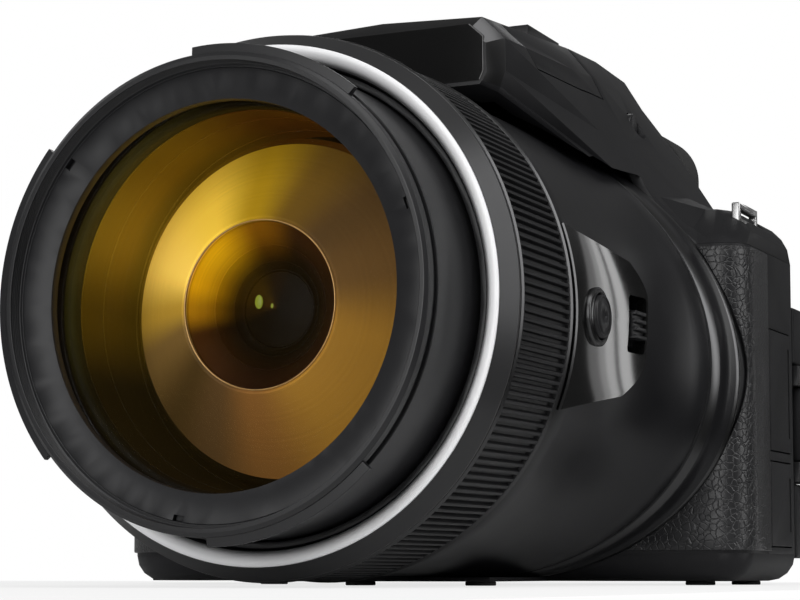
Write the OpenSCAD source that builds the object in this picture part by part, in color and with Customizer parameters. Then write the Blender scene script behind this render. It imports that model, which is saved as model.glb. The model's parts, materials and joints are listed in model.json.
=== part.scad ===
// Long-zoom bridge camera, as an assembly of its real pieces.
// Frame: +Z up, the lens looks along -Y, the lens axis lies in the plane X = 0.
// The origin is the point on the table under the tripod socket.
// Stations along the lens are given as the distance ahead of the socket.

/* [Body] */
// Half width of the body on the screen hinge side
body_right = 59.5; // [56:0.5:64]
// Half width of the body on the grip side, without the grip
body_left = 78; // [74:0.5:82]
// Front wall ahead of the tripod socket
body_front = 16.5; // [15:0.5:18]
// Rear wall behind the tripod socket
body_rear = 25; // [22:0.5:28]
// Radius of the upright corners
corner_r = 6; // [6:0.5:8]
// Wall of the moulded covers
cover_wall = 2; // [1.6:0.1:2.6]
// Height of the feet
foot_h = 0.8; // [0.5:0.1:1.5]
// Radius of the lower edge
base_edge = 5.5; // [4:0.5:5.5]
// Height of the shoulders
top_h = 76.5; // [75:0.5:80]
// Height of the top cover at the shoulders
shoulder_h = 8.9; // [8:0.1:10]
// Radius of the shoulder edge
top_edge = 5.6; // [4:0.2:5.8]
// Seam between the front and rear covers, behind the socket
side_seam = 0; // [-1:0.5:1]

/* [Grip] */
// Centre of the grip, left of the lens axis
grip_x = 66; // [64:0.5:68]
// Centre of the grip, ahead of the socket
grip_y = 3; // [1:0.5:5]
// Radius of the grip
grip_r = 18.5; // [17:0.5:20]
// Thickness of the leather and rubber skins
skin_t = 0.7; // [0.5:0.1:1]

/* [Lens] */
// Clearance under the control ring
ring_clear = 1; // [1:0.1:1.6]
// Outer radius of the front barrel
front_ro = 40.2; // [39.8:0.1:40.6]
// Wall of the zoom barrels
tube_wall = 1.2; // [1:0.1:1.3]
// Wall of the fixed barrel
fixed_wall = 2.2; // [2:0.1:2.4]
// Wall of the control ring
ring_wall = 2.7; // [2.5:0.1:2.9]
// Step from the control ring down to the shroud
shroud_step = 0.9; // [0.6:0.1:1.2]
// Wall of the front rim at the filter thread
rim_wall = 1.7; // [1.6:0.1:1.9]
// Front rim of the lens
rim_f = 122.8; // [118:0.2:126]
// Length of the filter thread
thread_l = 2.8; // [2.6:0.1:3.2]
// Front rim ahead of the trim ring
rim_proud = 17; // [16:0.2:18]
// Trim ring ahead of the control ring
trim_l = 4.1; // [3.8:0.1:4.6]
// Length of the control ring
ring_l = 23.1; // [20:0.1:25]
// Ribs around the control ring
rib_count = 190; // [120:10:220]
// Travel of each zoom stage
stage_travel = 58; // [40:1:62]
// Travel of the variator
variator_travel = 24; // [10:1:26]
// Width of the name ring
name_w = 5.7; // [5.2:0.1:6.2]
// Radius of the hole in the gold cone
cone_hole_r = 14.7; // [13:0.1:16]

/* [Hump] */
// Front of the viewfinder hump ahead of the socket
hump_front = 58; // [56:0.5:60]
// Rear seam of the flash head ahead of the socket
flash_rear = 15; // [14.6:0.2:16]
// Reach of the flash head from its hinge pin to its front seam
flash_reach = 30.3; // [28:0.1:31]
// Lower seam of the flash head above the top of the lens shroud
flash_rise = 4.7; // [4:0.1:5.2]
// Opening angle of the flash
flash_open = 62; // [40:1:70]

/* [Screen] */
// Width of the screen panel
screen_w = 80.5; // [76:0.5:82]
// Bottom edge of the screen panel
screen_z = 5.6; // [4:0.2:8]
// Height of the screen panel
screen_h = 53.6; // [50:0.2:56]
// Thickness of the screen panel
screen_t = 11; // [9:0.2:11.4]

/* [Controls] */
// Radius of the mode dial
mode_r = 11.5; // [10:0.5:12]
// Height of the mode dial
mode_t = 8; // [6:0.5:9]
// Radius of the shutter button
shutter_r = 6; // [5:0.5:6.5]
// Radius of the zoom lever
lever_r = 9.5; // [9:0.5:10]
// Radius of the selector dial
selector_r = 9.5; // [8:0.5:10]
// Radius of the small rear buttons
button_r = 3.2; // [2.5:0.1:3.6]
// Travel of the buttons
press_travel = 0.6; // [0.4:0.1:0.8]
// Radius of the tripod socket thread
socket_r = 3.175; // [3:0.05:3.2]
// Depth of the tripod socket
socket_depth = 6; // [5.6:0.1:6.5]

/* [Clearances] */
// Between a sliding or turning piece and its neighbour
slide_gap = 0.3; // [0.25:0.05:0.4]
// Between a pin and its bore
pin_gap = 0.08; // [0.05:0.01:0.12]
// Between fixed pieces that nest
fit_gap = 0.05; // [0.03:0.01:0.1]

/* [Hidden] */

// Lens stack, from the front barrel outwards
top_seam = top_h - shoulder_h;
filter_r = front_ro - rim_wall;
opening_r = filter_r - name_w;
name_f = rim_f - thread_l;
trim_f = rim_f - rim_proud;
ring_front = trim_f - trim_l;
ring_back = ring_front - ring_l;
front_ri = front_ro - tube_wall;
mid_ri = front_ro + slide_gap;
mid_ro = mid_ri + tube_wall;
fixed_ri = mid_ro + slide_gap;
fixed_ro = fixed_ri + fixed_wall;
ring_ri = fixed_ro + slide_gap;
ring_ro = ring_ri + ring_wall;
shroud_r = ring_ro - shroud_step;
axis_h = ring_ro + ring_clear;
barrel_top = axis_h + shroud_r;
chrome_ri = fixed_ro - 0.55;
chrome_ro = fixed_ro + 0.6;
chrome_back = trim_f - 0.9;
trim_back = ring_front + slide_gap;
shroud_front = ring_back - slide_gap;
shroud_back = body_front + 7.8;
bezel_front = shroud_back - 0.2;
barrel_back = body_front;
barrel_hole_r = fixed_ro + 0.6;
mid_front = trim_f - 2.6;
mid_back = 24;
front_back = 30;
rod_r = 1.25;
rod_at = front_ri - 3.1;
base_z = foot_h;
body_base = base_z + base_edge;

// Point on a ring around the lens axis, at distance f ahead and angle a
function lens_point(f, r, a) = [r * cos(a), -f, axis_h + r * sin(a)];

// Solid from a list of rings of equal length; closed joins the last ring to the first
// An open loft is capped by fans about the middle of its first and last rings.
function middle(ring) = [for (k = [0:2]) (min([for (p = ring) p[k]]) + max([for (p = ring) p[k]])) / 2];
module loft(rings, closed = false, hub = undef) {
    n = len(rings[0]);
    m = len(rings);
    spans = closed ? m : m - 1;
    sides = [for (k = [0:spans - 1], i = [0:n - 1], t = [0, 1])
        let (k2 = (k + 1) % m, i2 = (i + 1) % n)
        t == 0 ? [k * n + i, k2 * n + i, k2 * n + i2] : [k * n + i, k2 * n + i2, k * n + i2]];
    caps = closed ? [] : [for (i = [0:n - 1], e = [0, 1]) let (i2 = (i + 1) % n)
        e == 0 ? [m * n, i, i2] : [m * n + 1, (m - 1) * n + i2, (m - 1) * n + i]];
    centres = closed ? [] : [for (r = [rings[0], rings[m - 1]]) hub == undef ? middle(r) : [hub[0], hub[1],
        r[0][2]]];
    polyhedron(points = concat([for (r = rings) each r], centres), faces = concat(sides, caps));
}

// Solid between an outer and an inner grid of equal size
module slab(outer, inner) {
    m = len(outer);
    n = len(outer[0]);
    half = m * n;
    quads = concat(
        [for (j = [0:m - 2], i = [0:n - 2]) let (p = j * n + i) [p, p + n, p + n + 1, p + 1]],
        [for (j = [0:m - 2], i = [0:n - 2]) let (p = half + j * n + i) [p, p + 1, p + n + 1, p + n]],
        [for (i = [0:n - 2], e = [0, m - 1]) let (p = e * n + i)
            e == 0 ? [p, p + 1, half + p + 1, half + p] : [p, half + p, half + p + 1, p + 1]],
        [for (j = [0:m - 2], e = [0, n - 1]) let (p = j * n + e)
            e == 0 ? [p, half + p, half + p + n, p + n] : [p, p + n, half + p + n, half + p]]);
    polyhedron(points = concat([for (row = outer) each row], [for (row = inner) each row]),
        faces = [for (q = quads) each [[q[0], q[1], q[2]], [q[0], q[2], q[3]]]]);
}

// Piece turned about the lens axis, from its profile of [radius, distance ahead]
module lens_turned(profile) {
    translate([0, 0, axis_h]) rotate([90, 0, 0]) rotate_extrude($fn = 96) polygon(profile);
}

module lens_tube(ri, ro, back, front) {
    lens_turned([[ri, back], [ro, back], [ro, front], [ri, front]]);
}

module along_y(x, y, z) {
    translate([x, y, z]) rotate([90, 0, 0]) children();
}

module along_x(x, y, z) {
    translate([x, y, z]) rotate([0, 90, 0]) children();
}

module box(x0, x1, y0, y1, z0, z1) {
    translate([x0, y0, z0]) cube([x1 - x0, y1 - y0, z1 - z0]);
}

// Outline of the body seen from above, drawn in by d: three round corners and the arc of the grip
arc_n = 6;
grip_n = 20;
body_hub = [-50, 0];
function arc_points(x, y, r, a0, a1, n) =
    [for (i = [0:n]) let (a = a0 + (a1 - a0) * i / n) [x + r * cos(a), y + r * sin(a)]];
function grip_points(d) = let (r = grip_r - d, a0 = 180 - acos((body_left - grip_x - d) / r),
    a1 = 360 - asin((body_front - grip_y - d) / r)) arc_points(-grip_x, -grip_y, r, a0, a1, grip_n);
function outline(d) = let (k = corner_r) concat(
    arc_points(body_right - k, body_rear - k, k - d, 0, 90, arc_n),
    arc_points(-body_left + k, body_rear - k, k - d, 90, 180, arc_n), grip_points(d),
    arc_points(body_right - k, -body_front + k, k - d, 270, 360, arc_n));
function ring_at(z, d) = [for (p = outline(d)) [p[0], p[1], z]];

// Rounded edge: heights and insets over a quarter turn
edge_steps = 4;
function edge_in(r, i) = r * (1 - cos(90 * i / edge_steps));
function edge_up(r, i) = r * sin(90 * i / edge_steps);

// Flare of the shroud and bezel: swell of the radius at angle a, largest low on the hinge side
flare_h = 13;
flare_at = -15;
flare_spread = 46;
flare_left = 1.5;
function turn(a) = a > 180 ? a - 360 : a < -180 ? a + 360 : a;
function swell(a) = flare_h * exp(-pow(turn(a - flare_at) / flare_spread, 2))
    + flare_left * exp(-pow(turn(a - 190) / flare_spread, 2));
base_clear = 0.9;
function flare_r(a, k) = let (r = shroud_r + k * swell(a))
    sin(a) < -0.3 ? min(r, (axis_h - base_z - base_clear) / -sin(a)) : r;

// Share of the swell along the shroud: rises to the soft crest, then dips to the seam
crest_k = 0.62;
flare_start = 60;
crest_f = 28;
function flare_k(f) = f >= flare_start ? 0
    : f >= crest_f ? crest_k * pow((flare_start - f) / (flare_start - crest_f), 3)
    : crest_k - 0.06 * (crest_f - f) / (crest_f - shroud_back);
flare_n = 72;
function flare_ring(f, k, grow = 0) =
    [for (i = [0:flare_n - 1]) lens_point(f, flare_r(i * 360 / flare_n, k) + grow, i * 360 / flare_n)];
function round_ring(f, r) = [for (i = [0:flare_n - 1]) lens_point(f, r, i * 360 / flare_n)];
shroud_stations = [shroud_back, 26.4, crest_f, 30, 33, 36, 40, 44, 49, 54, flare_start, shroud_front];

module lens_shroud() {
    color([0.09, 0.09, 0.1]) difference() {
        loft(concat([for (f = shroud_stations) flare_ring(f, flare_k(f))],
            [round_ring(shroud_front, fixed_ro + fit_gap), round_ring(shroud_back, fixed_ro + fit_gap)]),
            true);
        snap_back_hole();
        slider_slot();
    }
}

rim_k = 0.98;
bezel_ri = shroud_r - 1;
// The bezel's back follows the front wall and wraps the corner in steps, each a little outside it
seat_step = 22.5;
seat_bend = corner_r / cos(seat_step / 2) + fit_gap;
function seat_depth(x) = let (over = x - body_right + corner_r)
    over < 0 ? body_front + fit_gap : body_front - corner_r + sqrt(max(0.01,
        seat_bend * seat_bend - over * over));
function seat_ring(k) = [for (i = [0:flare_n - 1])
    let (a = i * 360 / flare_n, edge = flare_r(a, rim_k),
        x = body_right - corner_r + seat_bend * sin(k * seat_step),
         r = k > 2 ? edge : min(edge - 0.3 * (3 - k), x / max(0.2, cos(a))))
    lens_point(seat_depth(r * cos(a)), r, a)];
module front_bezel() {
    color([0.09, 0.09, 0.1]) loft([round_ring(body_front + fit_gap, bezel_ri), seat_ring(0), seat_ring(1),
        seat_ring(2), seat_ring(3), flare_ring(body_front + 1.2, rim_k),
        flare_ring(body_front + 1.9, rim_k - 0.03), flare_ring(body_front + 3.4, 0.84),
        flare_ring(body_front + 5.6, 0.79), flare_ring(bezel_front - 0.6, 0.78),
        flare_ring(bezel_front, 0.72), round_ring(bezel_front, bezel_ri)], true);
}

// Leather on the hinge side: starts at the bezel rim and runs round the corner to the side seam
leather_low = body_base + 0.6;
leather_high = top_seam - 0.6;
skin_gap = 0.3;
leather_rows = 24;
leather_cols = 20;
function rim_x(z) = let (s = (z - axis_h), r = flare_r(asin(max(-0.95, min(0.95, s / 55))), rim_k))
    sqrt(max(100, r * r - s * s)) + 0.6;
function path_point(t, x0, grow) =
    let (straight = max(0, body_right - corner_r - x0), arc = corner_r * PI / 2,
         side = side_seam + body_front - corner_r - 0.4, s = t * (straight + arc + side))
    s < straight ? [x0 + s, -body_front - grow]
    : s < straight + arc ? let (a = -90 + (s - straight) / arc * 90)
        [body_right - corner_r + (corner_r + grow) * cos(a),
            -body_front + corner_r + (corner_r + grow) * sin(a)]
    : [body_right + grow, -body_front + corner_r + s - straight - arc];
function corner_start(x) = x <= body_right - corner_r ? 0
    : asin(min(1, (x - body_right + corner_r) / corner_r)) / 90 * corner_r * PI / 2;
function skin_point(t, z, grow) =
    let (x = rim_x(z), x0 = min(x, body_right - corner_r), skip = corner_start(x),
         total = max(0, body_right - corner_r - x0) + corner_r * PI / 2
             + side_seam + body_front - corner_r - 0.4,
         p = path_point((skip + t * (total - skip)) / total, x0, grow))
    [p[0], p[1], z];
function leather_grid(grow) = [for (j = [0:leather_rows])
    let (z = leather_low + (leather_high - leather_low) * j / leather_rows)
    [for (i = [0:leather_cols]) skin_point(i / leather_cols, z, grow)]];
module side_leather() {
    color([0.13, 0.13, 0.14]) slab(leather_grid(skin_t), leather_grid(skin_gap));
}

// Rubber round the grip: follows the outline over the grip's arc
function grip_grid(grow) = [for (z = [leather_low, leather_high]) [for (p = grip_points(-grow)) [p[0], p[1],
    z]]];
module grip_rubber() {
    color([0.13, 0.13, 0.14]) slab(grip_grid(skin_t), grip_grid(fit_gap));
}

module cover_wall_2d() {
    difference() {
        polygon(outline(0));
        polygon(outline(cover_wall));
    }
}

module lens_hole() {
    along_y(0, -body_front + cover_wall + 4, axis_h)
        cylinder(r = barrel_hole_r, h = cover_wall + 8, $fn = 96);
}

// Ring behind the front wall that the lens unit is seated in; it ties the two halves of the wall together
mount_ring_w = 3.3;
mount_ring_l = 2.5;
module lens_mount_ring() {
    back = body_front - cover_wall - mount_ring_l;
    inner = fixed_ro + fit_gap;
    floor_z = base_z + cover_wall + fit_gap;
    intersection() {
        lens_tube(inner, inner + mount_ring_w, back, body_front - cover_wall + 0.5);
        union() {
            box(-60, 60, -body_front, -back + 1, body_base, top_seam);
            box(-60, 60, -body_front + cover_wall + fit_gap, -back + 1, floor_z, body_base + 1);
        }
    }
}

module front_cover() {
    color([0.1, 0.1, 0.11]) difference() {
        translate([0, 0, body_base]) linear_extrude(top_seam - body_base) intersection() {
            cover_wall_2d();
            translate([-100, -60]) square([200, 60 + side_seam - fit_gap]);
        }
        lens_hole();
    }
    color([0.1, 0.1, 0.11]) lens_mount_ring();
}

// Small rear buttons: place on the rear wall
button_z = top_seam - 5.6;
movie_at = [-36, button_z];
playback_at = [-50, button_z];
menu_at = [-35, 20];
delete_at = [-57, 20];
selector_at = [-46, 41];
button_proud = 1.2;
button_deep = cover_wall + 1.2;
flange_t = 0.8;
module rear_hole(at, r) {
    along_y(at[0], body_rear + 1, at[1]) cylinder(r = r + slide_gap, h = cover_wall + 3, $fn = 48);
}

door_front = side_seam + 1.2;
door_rear = body_rear - 7.8;
door_t = 1.5;
jack_y = (door_front + door_rear) / 2;
door_proud = 0.25;
door_knuckle = 1;
door_pin = [body_right + door_proud - door_knuckle, door_front + door_knuckle];
door_pin_r = 0.45;
door_pin_l = 0.8;
connector_low = 27.4;
connector_high = 52;
power_low = body_base + 1.6;
power_high = connector_low - 2.4;
module door_round(low, high, r, l) {
    translate([door_pin[0], door_pin[1], low - l]) cylinder(r = r, h = high - low + 2 * l, $fn = 32);
}

module door_recess(low, high) {
    g = slide_gap;
    box(body_right + door_proud - door_t - g, body_right + 2, door_pin[1], door_rear + g, low - g, high + g);
    box(door_pin[0], body_right + 2, door_pin[1] - door_knuckle - g, door_pin[1] + 1, low - g, high + g);
    door_round(low, high, door_knuckle + g, g);
    door_round(low, high, door_pin_r + pin_gap, door_pin_l + g / 2);
}

// Sockets behind the doors: height of the middle, height and width
jacks = [[44, 7, 9], [33, 5, 9], [16, 6, 7]];
jack_d = 1;
module jack_hole(j) {
    box(body_right - cover_wall - jack_d, body_right, jack_y - j[2] / 2, jack_y + j[2] / 2, j[0] - j[1] / 2,
        j[0] + j[1] / 2);
}

module rear_cover() {
    color([0.1, 0.1, 0.11]) difference() {
        union() {
            translate([0, 0, body_base]) linear_extrude(top_seam - body_base) intersection() {
                cover_wall_2d();
                translate([-100, side_seam]) square([200, 60]);
            }
            box(body_right - cover_wall - 1.6, body_right - cover_wall + 0.1, side_seam, door_rear + 1,
                power_low - 1, connector_high + 1);
        }
        for (at = [movie_at, playback_at, menu_at, delete_at]) rear_hole(at, button_r);
        rear_hole(selector_at, selector_r);
        door_recess(connector_low, connector_high);
        door_recess(power_low, power_high);
        for (j = jacks) jack_hole(j);
    }
}

// Bottom cover: rounded tray with a tongue under the lens barrel
tongue_f = 44;
insert_r = 7;
flange_r = 9;
socket_h = socket_depth + 1.5;
tongue_w = 17;
tongue_t = base_clear - 0.1;
door_x0 = -grip_x - 12;
door_x1 = -grip_x + 11;
door_y0 = -grip_y - 10;
door_y1 = body_rear - 6;
screw_r = 1;
screw_l = 4.5;
head_r = 1.9;
head_t = 0.8;
screws = [[-44, -4], [30, 16], [-24, 18], [51, 7]];
hatch_knuckle = cover_wall / 2;
hatch_pin = [door_x1 - slide_gap - hatch_knuckle, base_z + hatch_knuckle];
hatch_pin_r = 0.6;
hatch_pin_l = 0.8;
module hatch_round(r, l) {
    along_y(hatch_pin[0], door_y1 - slide_gap + l, hatch_pin[1])
        cylinder(r = r, h = door_y1 - door_y0 - 2 * slide_gap + 2 * l, $fn = 32);
}

module bottom_cover() {
    d = cover_wall;
    color([0.1, 0.1, 0.11]) difference() {
        union() {
            loft(concat([for (i = [edge_steps:-1:0])
                ring_at(body_base - edge_up(base_edge, i), edge_in(base_edge, i))],
                [ring_at(body_base, d), ring_at(base_z + d, d)]), hub = body_hub);
            box(-tongue_w, tongue_w, -tongue_f, -body_front + base_edge, base_z, base_z + tongue_t);
            translate([0, 0, base_z]) cylinder(r = flange_r, h = socket_h, $fn = 64);
        }
        translate([0, 0, base_z - 1]) cylinder(r = insert_r + fit_gap, h = socket_h + 3, $fn = 64);
        box(door_x0, door_x1, door_y0, door_y1, base_z - 1, base_z + d + 2);
        hatch_round(hatch_pin_r + pin_gap, hatch_pin_l + slide_gap);
        for (p = screws) translate([p[0], p[1], base_z - 1]) union() {
            cylinder(r = screw_r + fit_gap, h = d + 2, $fn = 24);
            cylinder(r = head_r + fit_gap, h = 1 + head_t + fit_gap, $fn = 24);
        }
    }
}

// Tripod socket: threaded metal insert with a flange on the inside of the tray
module tripod_socket() {
    color([0.7, 0.7, 0.7]) difference() {
        union() {
            translate([0, 0, base_z]) cylinder(r = insert_r, h = socket_h + 1, $fn = 64);
            translate([0, 0, base_z + socket_h + fit_gap]) cylinder(r = flange_r, h = 1 - fit_gap, $fn = 64);
        }
        translate([0, 0, base_z - 1]) cylinder(r = socket_r, h = socket_depth + 1, $fn = 64);
    }
}

foot_r = 3;
feet = [[-50, -7], [-13, -tongue_f + 5], [13, -tongue_f + 5], [46, -3], [50, body_rear - 9],
    [-40, body_rear - 9]];
module base_feet() {
    color([0.15, 0.15, 0.15]) for (p = feet) translate([p[0], p[1], 0])
        cylinder(r = foot_r, h = foot_h, $fn = 32);
}

// Viewfinder hump: sections [ahead, foot x, z, lower edge x, z, flank x, z, chamfer x, z, top x, z, crown z]
// On the body the foot and lower edge are measured from the shoulders; the rest from the top of the shroud.
hump_rear = body_rear - 1;
hump_left = 45;
hump_sections = [
    [-hump_rear, 52, -1, 42.5, 3, 35, -4.5, 26, 6.5, 22, 12, 17.5],
    [-hump_rear + 6, 53, -1, 43.5, 3.6, 36.6, -3.5, 27.5, 9, 23.5, 15.5, 21.5],
    [-1, 52.5, -1, 43, 3.6, 36.5, -4, 28, 9.5, 23, 16.5, 22.5],
    [flash_rear - 3, 47.3, -5, 41.3, 2, 35, -4.3, 28, 9.4, 22.6, 16.1, 21.5],
    [flash_rear, 46.5, -6.5, 40.7, 2, 34.7, -4.3, 27.9, 9.3, 22.5, 16, 17.1],
    [25, 41.4, -18, 39, -15, 33, -4.1, 27.3, 9, 22, 15.3, 16.5],
    [hump_front - 2, 24.2, -1.8, 24.6, -0.7, 25.7, 2.2, 25.6, 8.5, 20.9, 13.1, 14],
    [hump_front, 21.2, -0.3, 21.7, 0.3, 22.6, 2.1, 22.4, 7.5, 19.5, 10.7, 11.3]];
function hump_ring(s, d, floor_z) =
    let (base = s[0] > body_front ? barrel_top : top_h,
         right = [[s[1] - d, floor_z == 0 ? base + s[2] : floor_z], [s[3] - d, base + s[4]],
                  [s[5] - d, barrel_top + s[6]], [s[7] - d, barrel_top + s[8] - d * 0.4],
                  [s[9] - d * 0.7, barrel_top + s[10] - d]])
    [for (p = concat(right, [[0, barrel_top + s[11] - d]],
        [for (i = [4:-1:0]) [-min(right[i][0], hump_left - d), right[i][1]]])) [p[0], -s[0], p[1]]];
function hump_cut(s, f) = concat([f], [for (i = [1:11]) s[i]]);
module hump_solid() {
    loft([for (s = hump_sections) hump_ring(s, 0, 0)]);
}

hump_wall = 2.2;
module hump_cavity() {
    last = len(hump_sections) - 1;
    loft([for (i = [0:last - 1]) let (s = hump_sections[i],
        at = i == 0 ? hump_cut(s, s[0] + hump_wall) : i == last - 1 ? hump_cut(s, s[0] - hump_wall) : s)
        hump_ring(at, hump_wall, top_seam)]);
}

module barrel_room() {
    along_y(0, -body_front, axis_h) cylinder(r1 = shroud_r + 5.1, r2 = shroud_r + 0.7,
        h = hump_front - body_front + 3, $fn = 96);
}

// Room of the flash head: its front seam is an arc about the hinge pin
// The rear seam is wider, because the rear edge swings towards it.
flash_seam = barrel_top + flash_rise;
flash_pin_f = flash_rear + 2;
flash_pin_z = barrel_top + 15.9;
flash_rear_gap = 0.45;
well_wall = 1.2;
hump_clear = 40;
module flash_block(grow, rear) {
    intersection() {
        box(-hump_clear, hump_clear, -flash_pin_f - hump_clear, -flash_rear + rear, flash_seam - grow,
            flash_pin_z + 20);
        along_x(-hump_clear, -flash_pin_f, flash_pin_z)
            cylinder(r = flash_reach + grow, h = 2 * hump_clear, $fn = 180);
    }
}

module flash_well() {
    intersection() {
        hump_solid();
        flash_block(well_wall, well_wall);
    }
}

// Shoe deck: flat seat cut across the crown
shoe_z = barrel_top + 20.3;
shoe_w = 21.5;
shoe_l = 18.4;
shoe_f = -2;
module shoe_seat() {
    box(-shoe_w / 2 - 0.6, shoe_w / 2 + 0.6, -shoe_f - shoe_l / 2 - 0.6, body_rear + 2, shoe_z, shoe_z + 15);
}

mode_at = [-58, 9];
shutter_at = [-68, -11];
power_at = [-73, 2];
power_r = 3.2;
command_at = [-64, body_rear - 6.6];
command_r = 8;
command_t = 3.6;
command_z = top_h - cover_wall - slide_gap - command_t;
dial_pin_r = 2.5;
command_pin_r = 1.5;
command_pin_h = cover_wall - 0.6;
panel_d = 1.2;
panel_points = [[20.2, 1.9], [20.6, 6.9], [18.4, 9.5], [-18.4, 9.5], [-20.6, 6.9], [-20.2, 1.9]];
module panel_recess(grow, depth, front) {
    translate([0, -hump_front + depth, barrel_top]) rotate([90, 0, 0]) linear_extrude(depth + front)
        polygon([for (p = panel_points) [p[0] + (p[0] > 0 ? grow : -grow),
            p[1] + (p[1] > 5 ? grow : -grow)]]);
}

flash_button_at = [3, barrel_top + 1];
flash_button_r = 2.6;
flash_button_x0 = 27.2;
flash_button_l = 5.6;
module flash_button_hole() {
    along_x(flash_button_x0, -flash_button_at[0], flash_button_at[1])
        cylinder(r = flash_button_r + slide_gap, h = 17, $fn = 48);
}

// Eyepiece: rounded tube behind the hump with a wider rubber cup
eye_w = 22;
eye_h = 11.5;
eye_corner = 8;
eye_z = barrel_top - 2.5;
eye_rear = 50;
eye_wall = 2;
cup_w = 28;
cup_h = 13;
cup_corner = 11;
module rounded_2d(w, h, r) {
    square([2 * w - 2 * r, 2 * h], center = true);
    square([2 * w, 2 * h - 2 * r], center = true);
    for (x = [-w + r, w - r], y = [-h + r, h - r]) translate([x, y]) circle(r = r, $fn = 64);
}

module eye_tube(w, h, r, y0, y1) {
    along_y(0, y1, eye_z) linear_extrude(y1 - y0) rounded_2d(w, h, r);
}

module eye_bore(y0, y1) {
    eye_tube(eye_w - eye_wall, eye_h - eye_wall, eye_corner - eye_wall, y0, y1);
}

// Shoulder on the hinge side: rolls over to the side and slopes down to the front, from a step beside the lens
top_inset = 1.6;
top_low = top_seam + fit_gap;
roll_w = 8.5;
slope_run = 12.4;
step_x = 52;
step_run = 8.7;
step_w = 1.5;
function shoulder_ring(z, d, wall) =
    let (t = min(1, (z - top_low) / (top_h - top_low)), k = max(0.6, corner_r - d),
         right = body_right - roll_w * (1 - sqrt(1 - t * t)) - 1.3 * wall,
         front = body_front - slope_run * t - 1.7 * wall,
         step = step_x - step_run * t - 2 * wall)
    [for (p = concat(arc_points(right - k, body_rear - d - k, k, 0, 90, arc_n),
        arc_points(-body_left + corner_r, body_rear - corner_r, corner_r - d, 90, 180, arc_n),
        grip_points(d), [[step - step_w, d - body_front], [step, -front]],
        arc_points(right - k, k - front, k, 270, 360, arc_n))) [p[0], p[1], z]];

module top_cover() {
    d = cover_wall;
    ceiling = shoulder_ring(top_h - d, d + top_inset, d);
    color([0.1, 0.1, 0.11]) difference() {
        union() {
            loft(concat([ceiling, shoulder_ring(top_h - d - 1.5, d, d), shoulder_ring(top_low, d, d),
                shoulder_ring(top_low, 0, 0)], [for (i = [0:edge_steps])
                    shoulder_ring(top_h - top_edge + edge_up(top_edge, i), edge_in(top_edge, i), 0)]),
                hub = body_hub);
            difference() {
                hump_solid();
                hump_cavity();
            }
            flash_well();
        }
        translate([0, 0, -top_h]) linear_extrude(2 * top_h - d) polygon([for (p = ceiling) [p[0], p[1]]]);
        barrel_room();
        along_y(0, -body_front + 6, axis_h) cylinder(r = barrel_hole_r, h = 8, $fn = 96);
        flash_block(slide_gap, flash_rear_gap);
        shoe_seat();
        lug_block(lug_right, fit_gap);
        lug_block(lug_left, fit_gap);
        panel_recess(fit_gap, panel_d, 4);
        flash_button_hole();
        eye_tube(eye_w + fit_gap, eye_h + fit_gap, eye_corner + fit_gap, hump_rear - 7, hump_rear + 4);
        translate([mode_at[0], mode_at[1], top_h - d - 1])
            cylinder(r = dial_pin_r + pin_gap, h = d + 3, $fn = 48);
        translate([shutter_at[0], shutter_at[1], top_h - d - 1])
            cylinder(r = shutter_r + slide_gap, h = d + 3, $fn = 48);
        translate([power_at[0], power_at[1], top_h - d - 1])
            cylinder(r = power_r + slide_gap, h = d + 3, $fn = 48);
        translate([command_at[0], command_at[1], command_z - slide_gap])
            cylinder(r = command_r + slide_gap, h = command_t + 2 * slide_gap, $fn = 64);
        translate([command_at[0], command_at[1], command_z])
            cylinder(r = command_pin_r + pin_gap, h = command_t + slide_gap + command_pin_h + slide_gap,
                $fn = 32);
    }
    color([0.1, 0.1, 0.11]) flash_ears();
}

module hump_panel() {
    color([0.03, 0.03, 0.03]) panel_recess(0, panel_d - fit_gap, -0.3);
}

// Flash head: lid of the hump, with a pin that turns in two ears of the cover
flash_pin_r = 0.65;
ear_r = 1.2;
ear_x = 8;
ear_t = 3;
module flash_pin(r, x0, x1) {
    along_x(x0, -flash_pin_f, flash_pin_z) cylinder(r = r, h = x1 - x0, $fn = 32);
}

module flash_ears() {
    for (x = [-ear_x - ear_t, ear_x]) difference() {
        union() {
            flash_pin(ear_r, x, x + ear_t);
            box(x, x + ear_t, -flash_pin_f, -flash_rear + 1.5, flash_pin_z - ear_r, flash_pin_z);
        }
        flash_pin(flash_pin_r + pin_gap, x - 1, x + ear_t + 1);
    }
}

module ear_room() {
    for (x = [-ear_x - ear_t, ear_x]) box(x - slide_gap, x + ear_t + slide_gap,
        -flash_pin_f - ear_r - slide_gap, -flash_rear + 1, flash_seam - 1, flash_pin_z + 9.6);
}

window_z0 = flash_seam + 2;
window_z1 = window_z0 + 4.8;
window_w = 16;
window_back = flash_pin_f + flash_reach - 3;
module flash_window_block(grow) {
    box(-window_w - grow, window_w + grow, -flash_pin_f - hump_clear, -window_back + grow, window_z0 - grow,
        window_z1 + grow);
}

module flash_head() {
    color([0.1, 0.1, 0.11]) difference() {
        intersection() {
            hump_solid();
            flash_block(0, 0);
        }
        box(-20, 20, -window_back + 2, -flash_rear - 5, flash_seam - 1, flash_pin_z - 3.4);
        flash_window_block(fit_gap);
        ear_room();
    }
    color([0.1, 0.1, 0.11]) flash_pin(flash_pin_r, -ear_x - ear_t - 1, ear_x + ear_t + 1);
}

module flash_window() {
    color([0.8, 0.8, 0.8]) intersection() {
        flash_window_block(0);
        flash_block(0, 0);
    }
}

module flash_button() {
    color([0.3, 0.3, 0.3]) along_x(flash_button_x0, -flash_button_at[0], flash_button_at[1]) union() {
        cylinder(r = flash_button_r, h = flash_button_l, $fn = 48);
        cylinder(r = flash_button_r + 1, h = flange_t, $fn = 48);
    }
}

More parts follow.
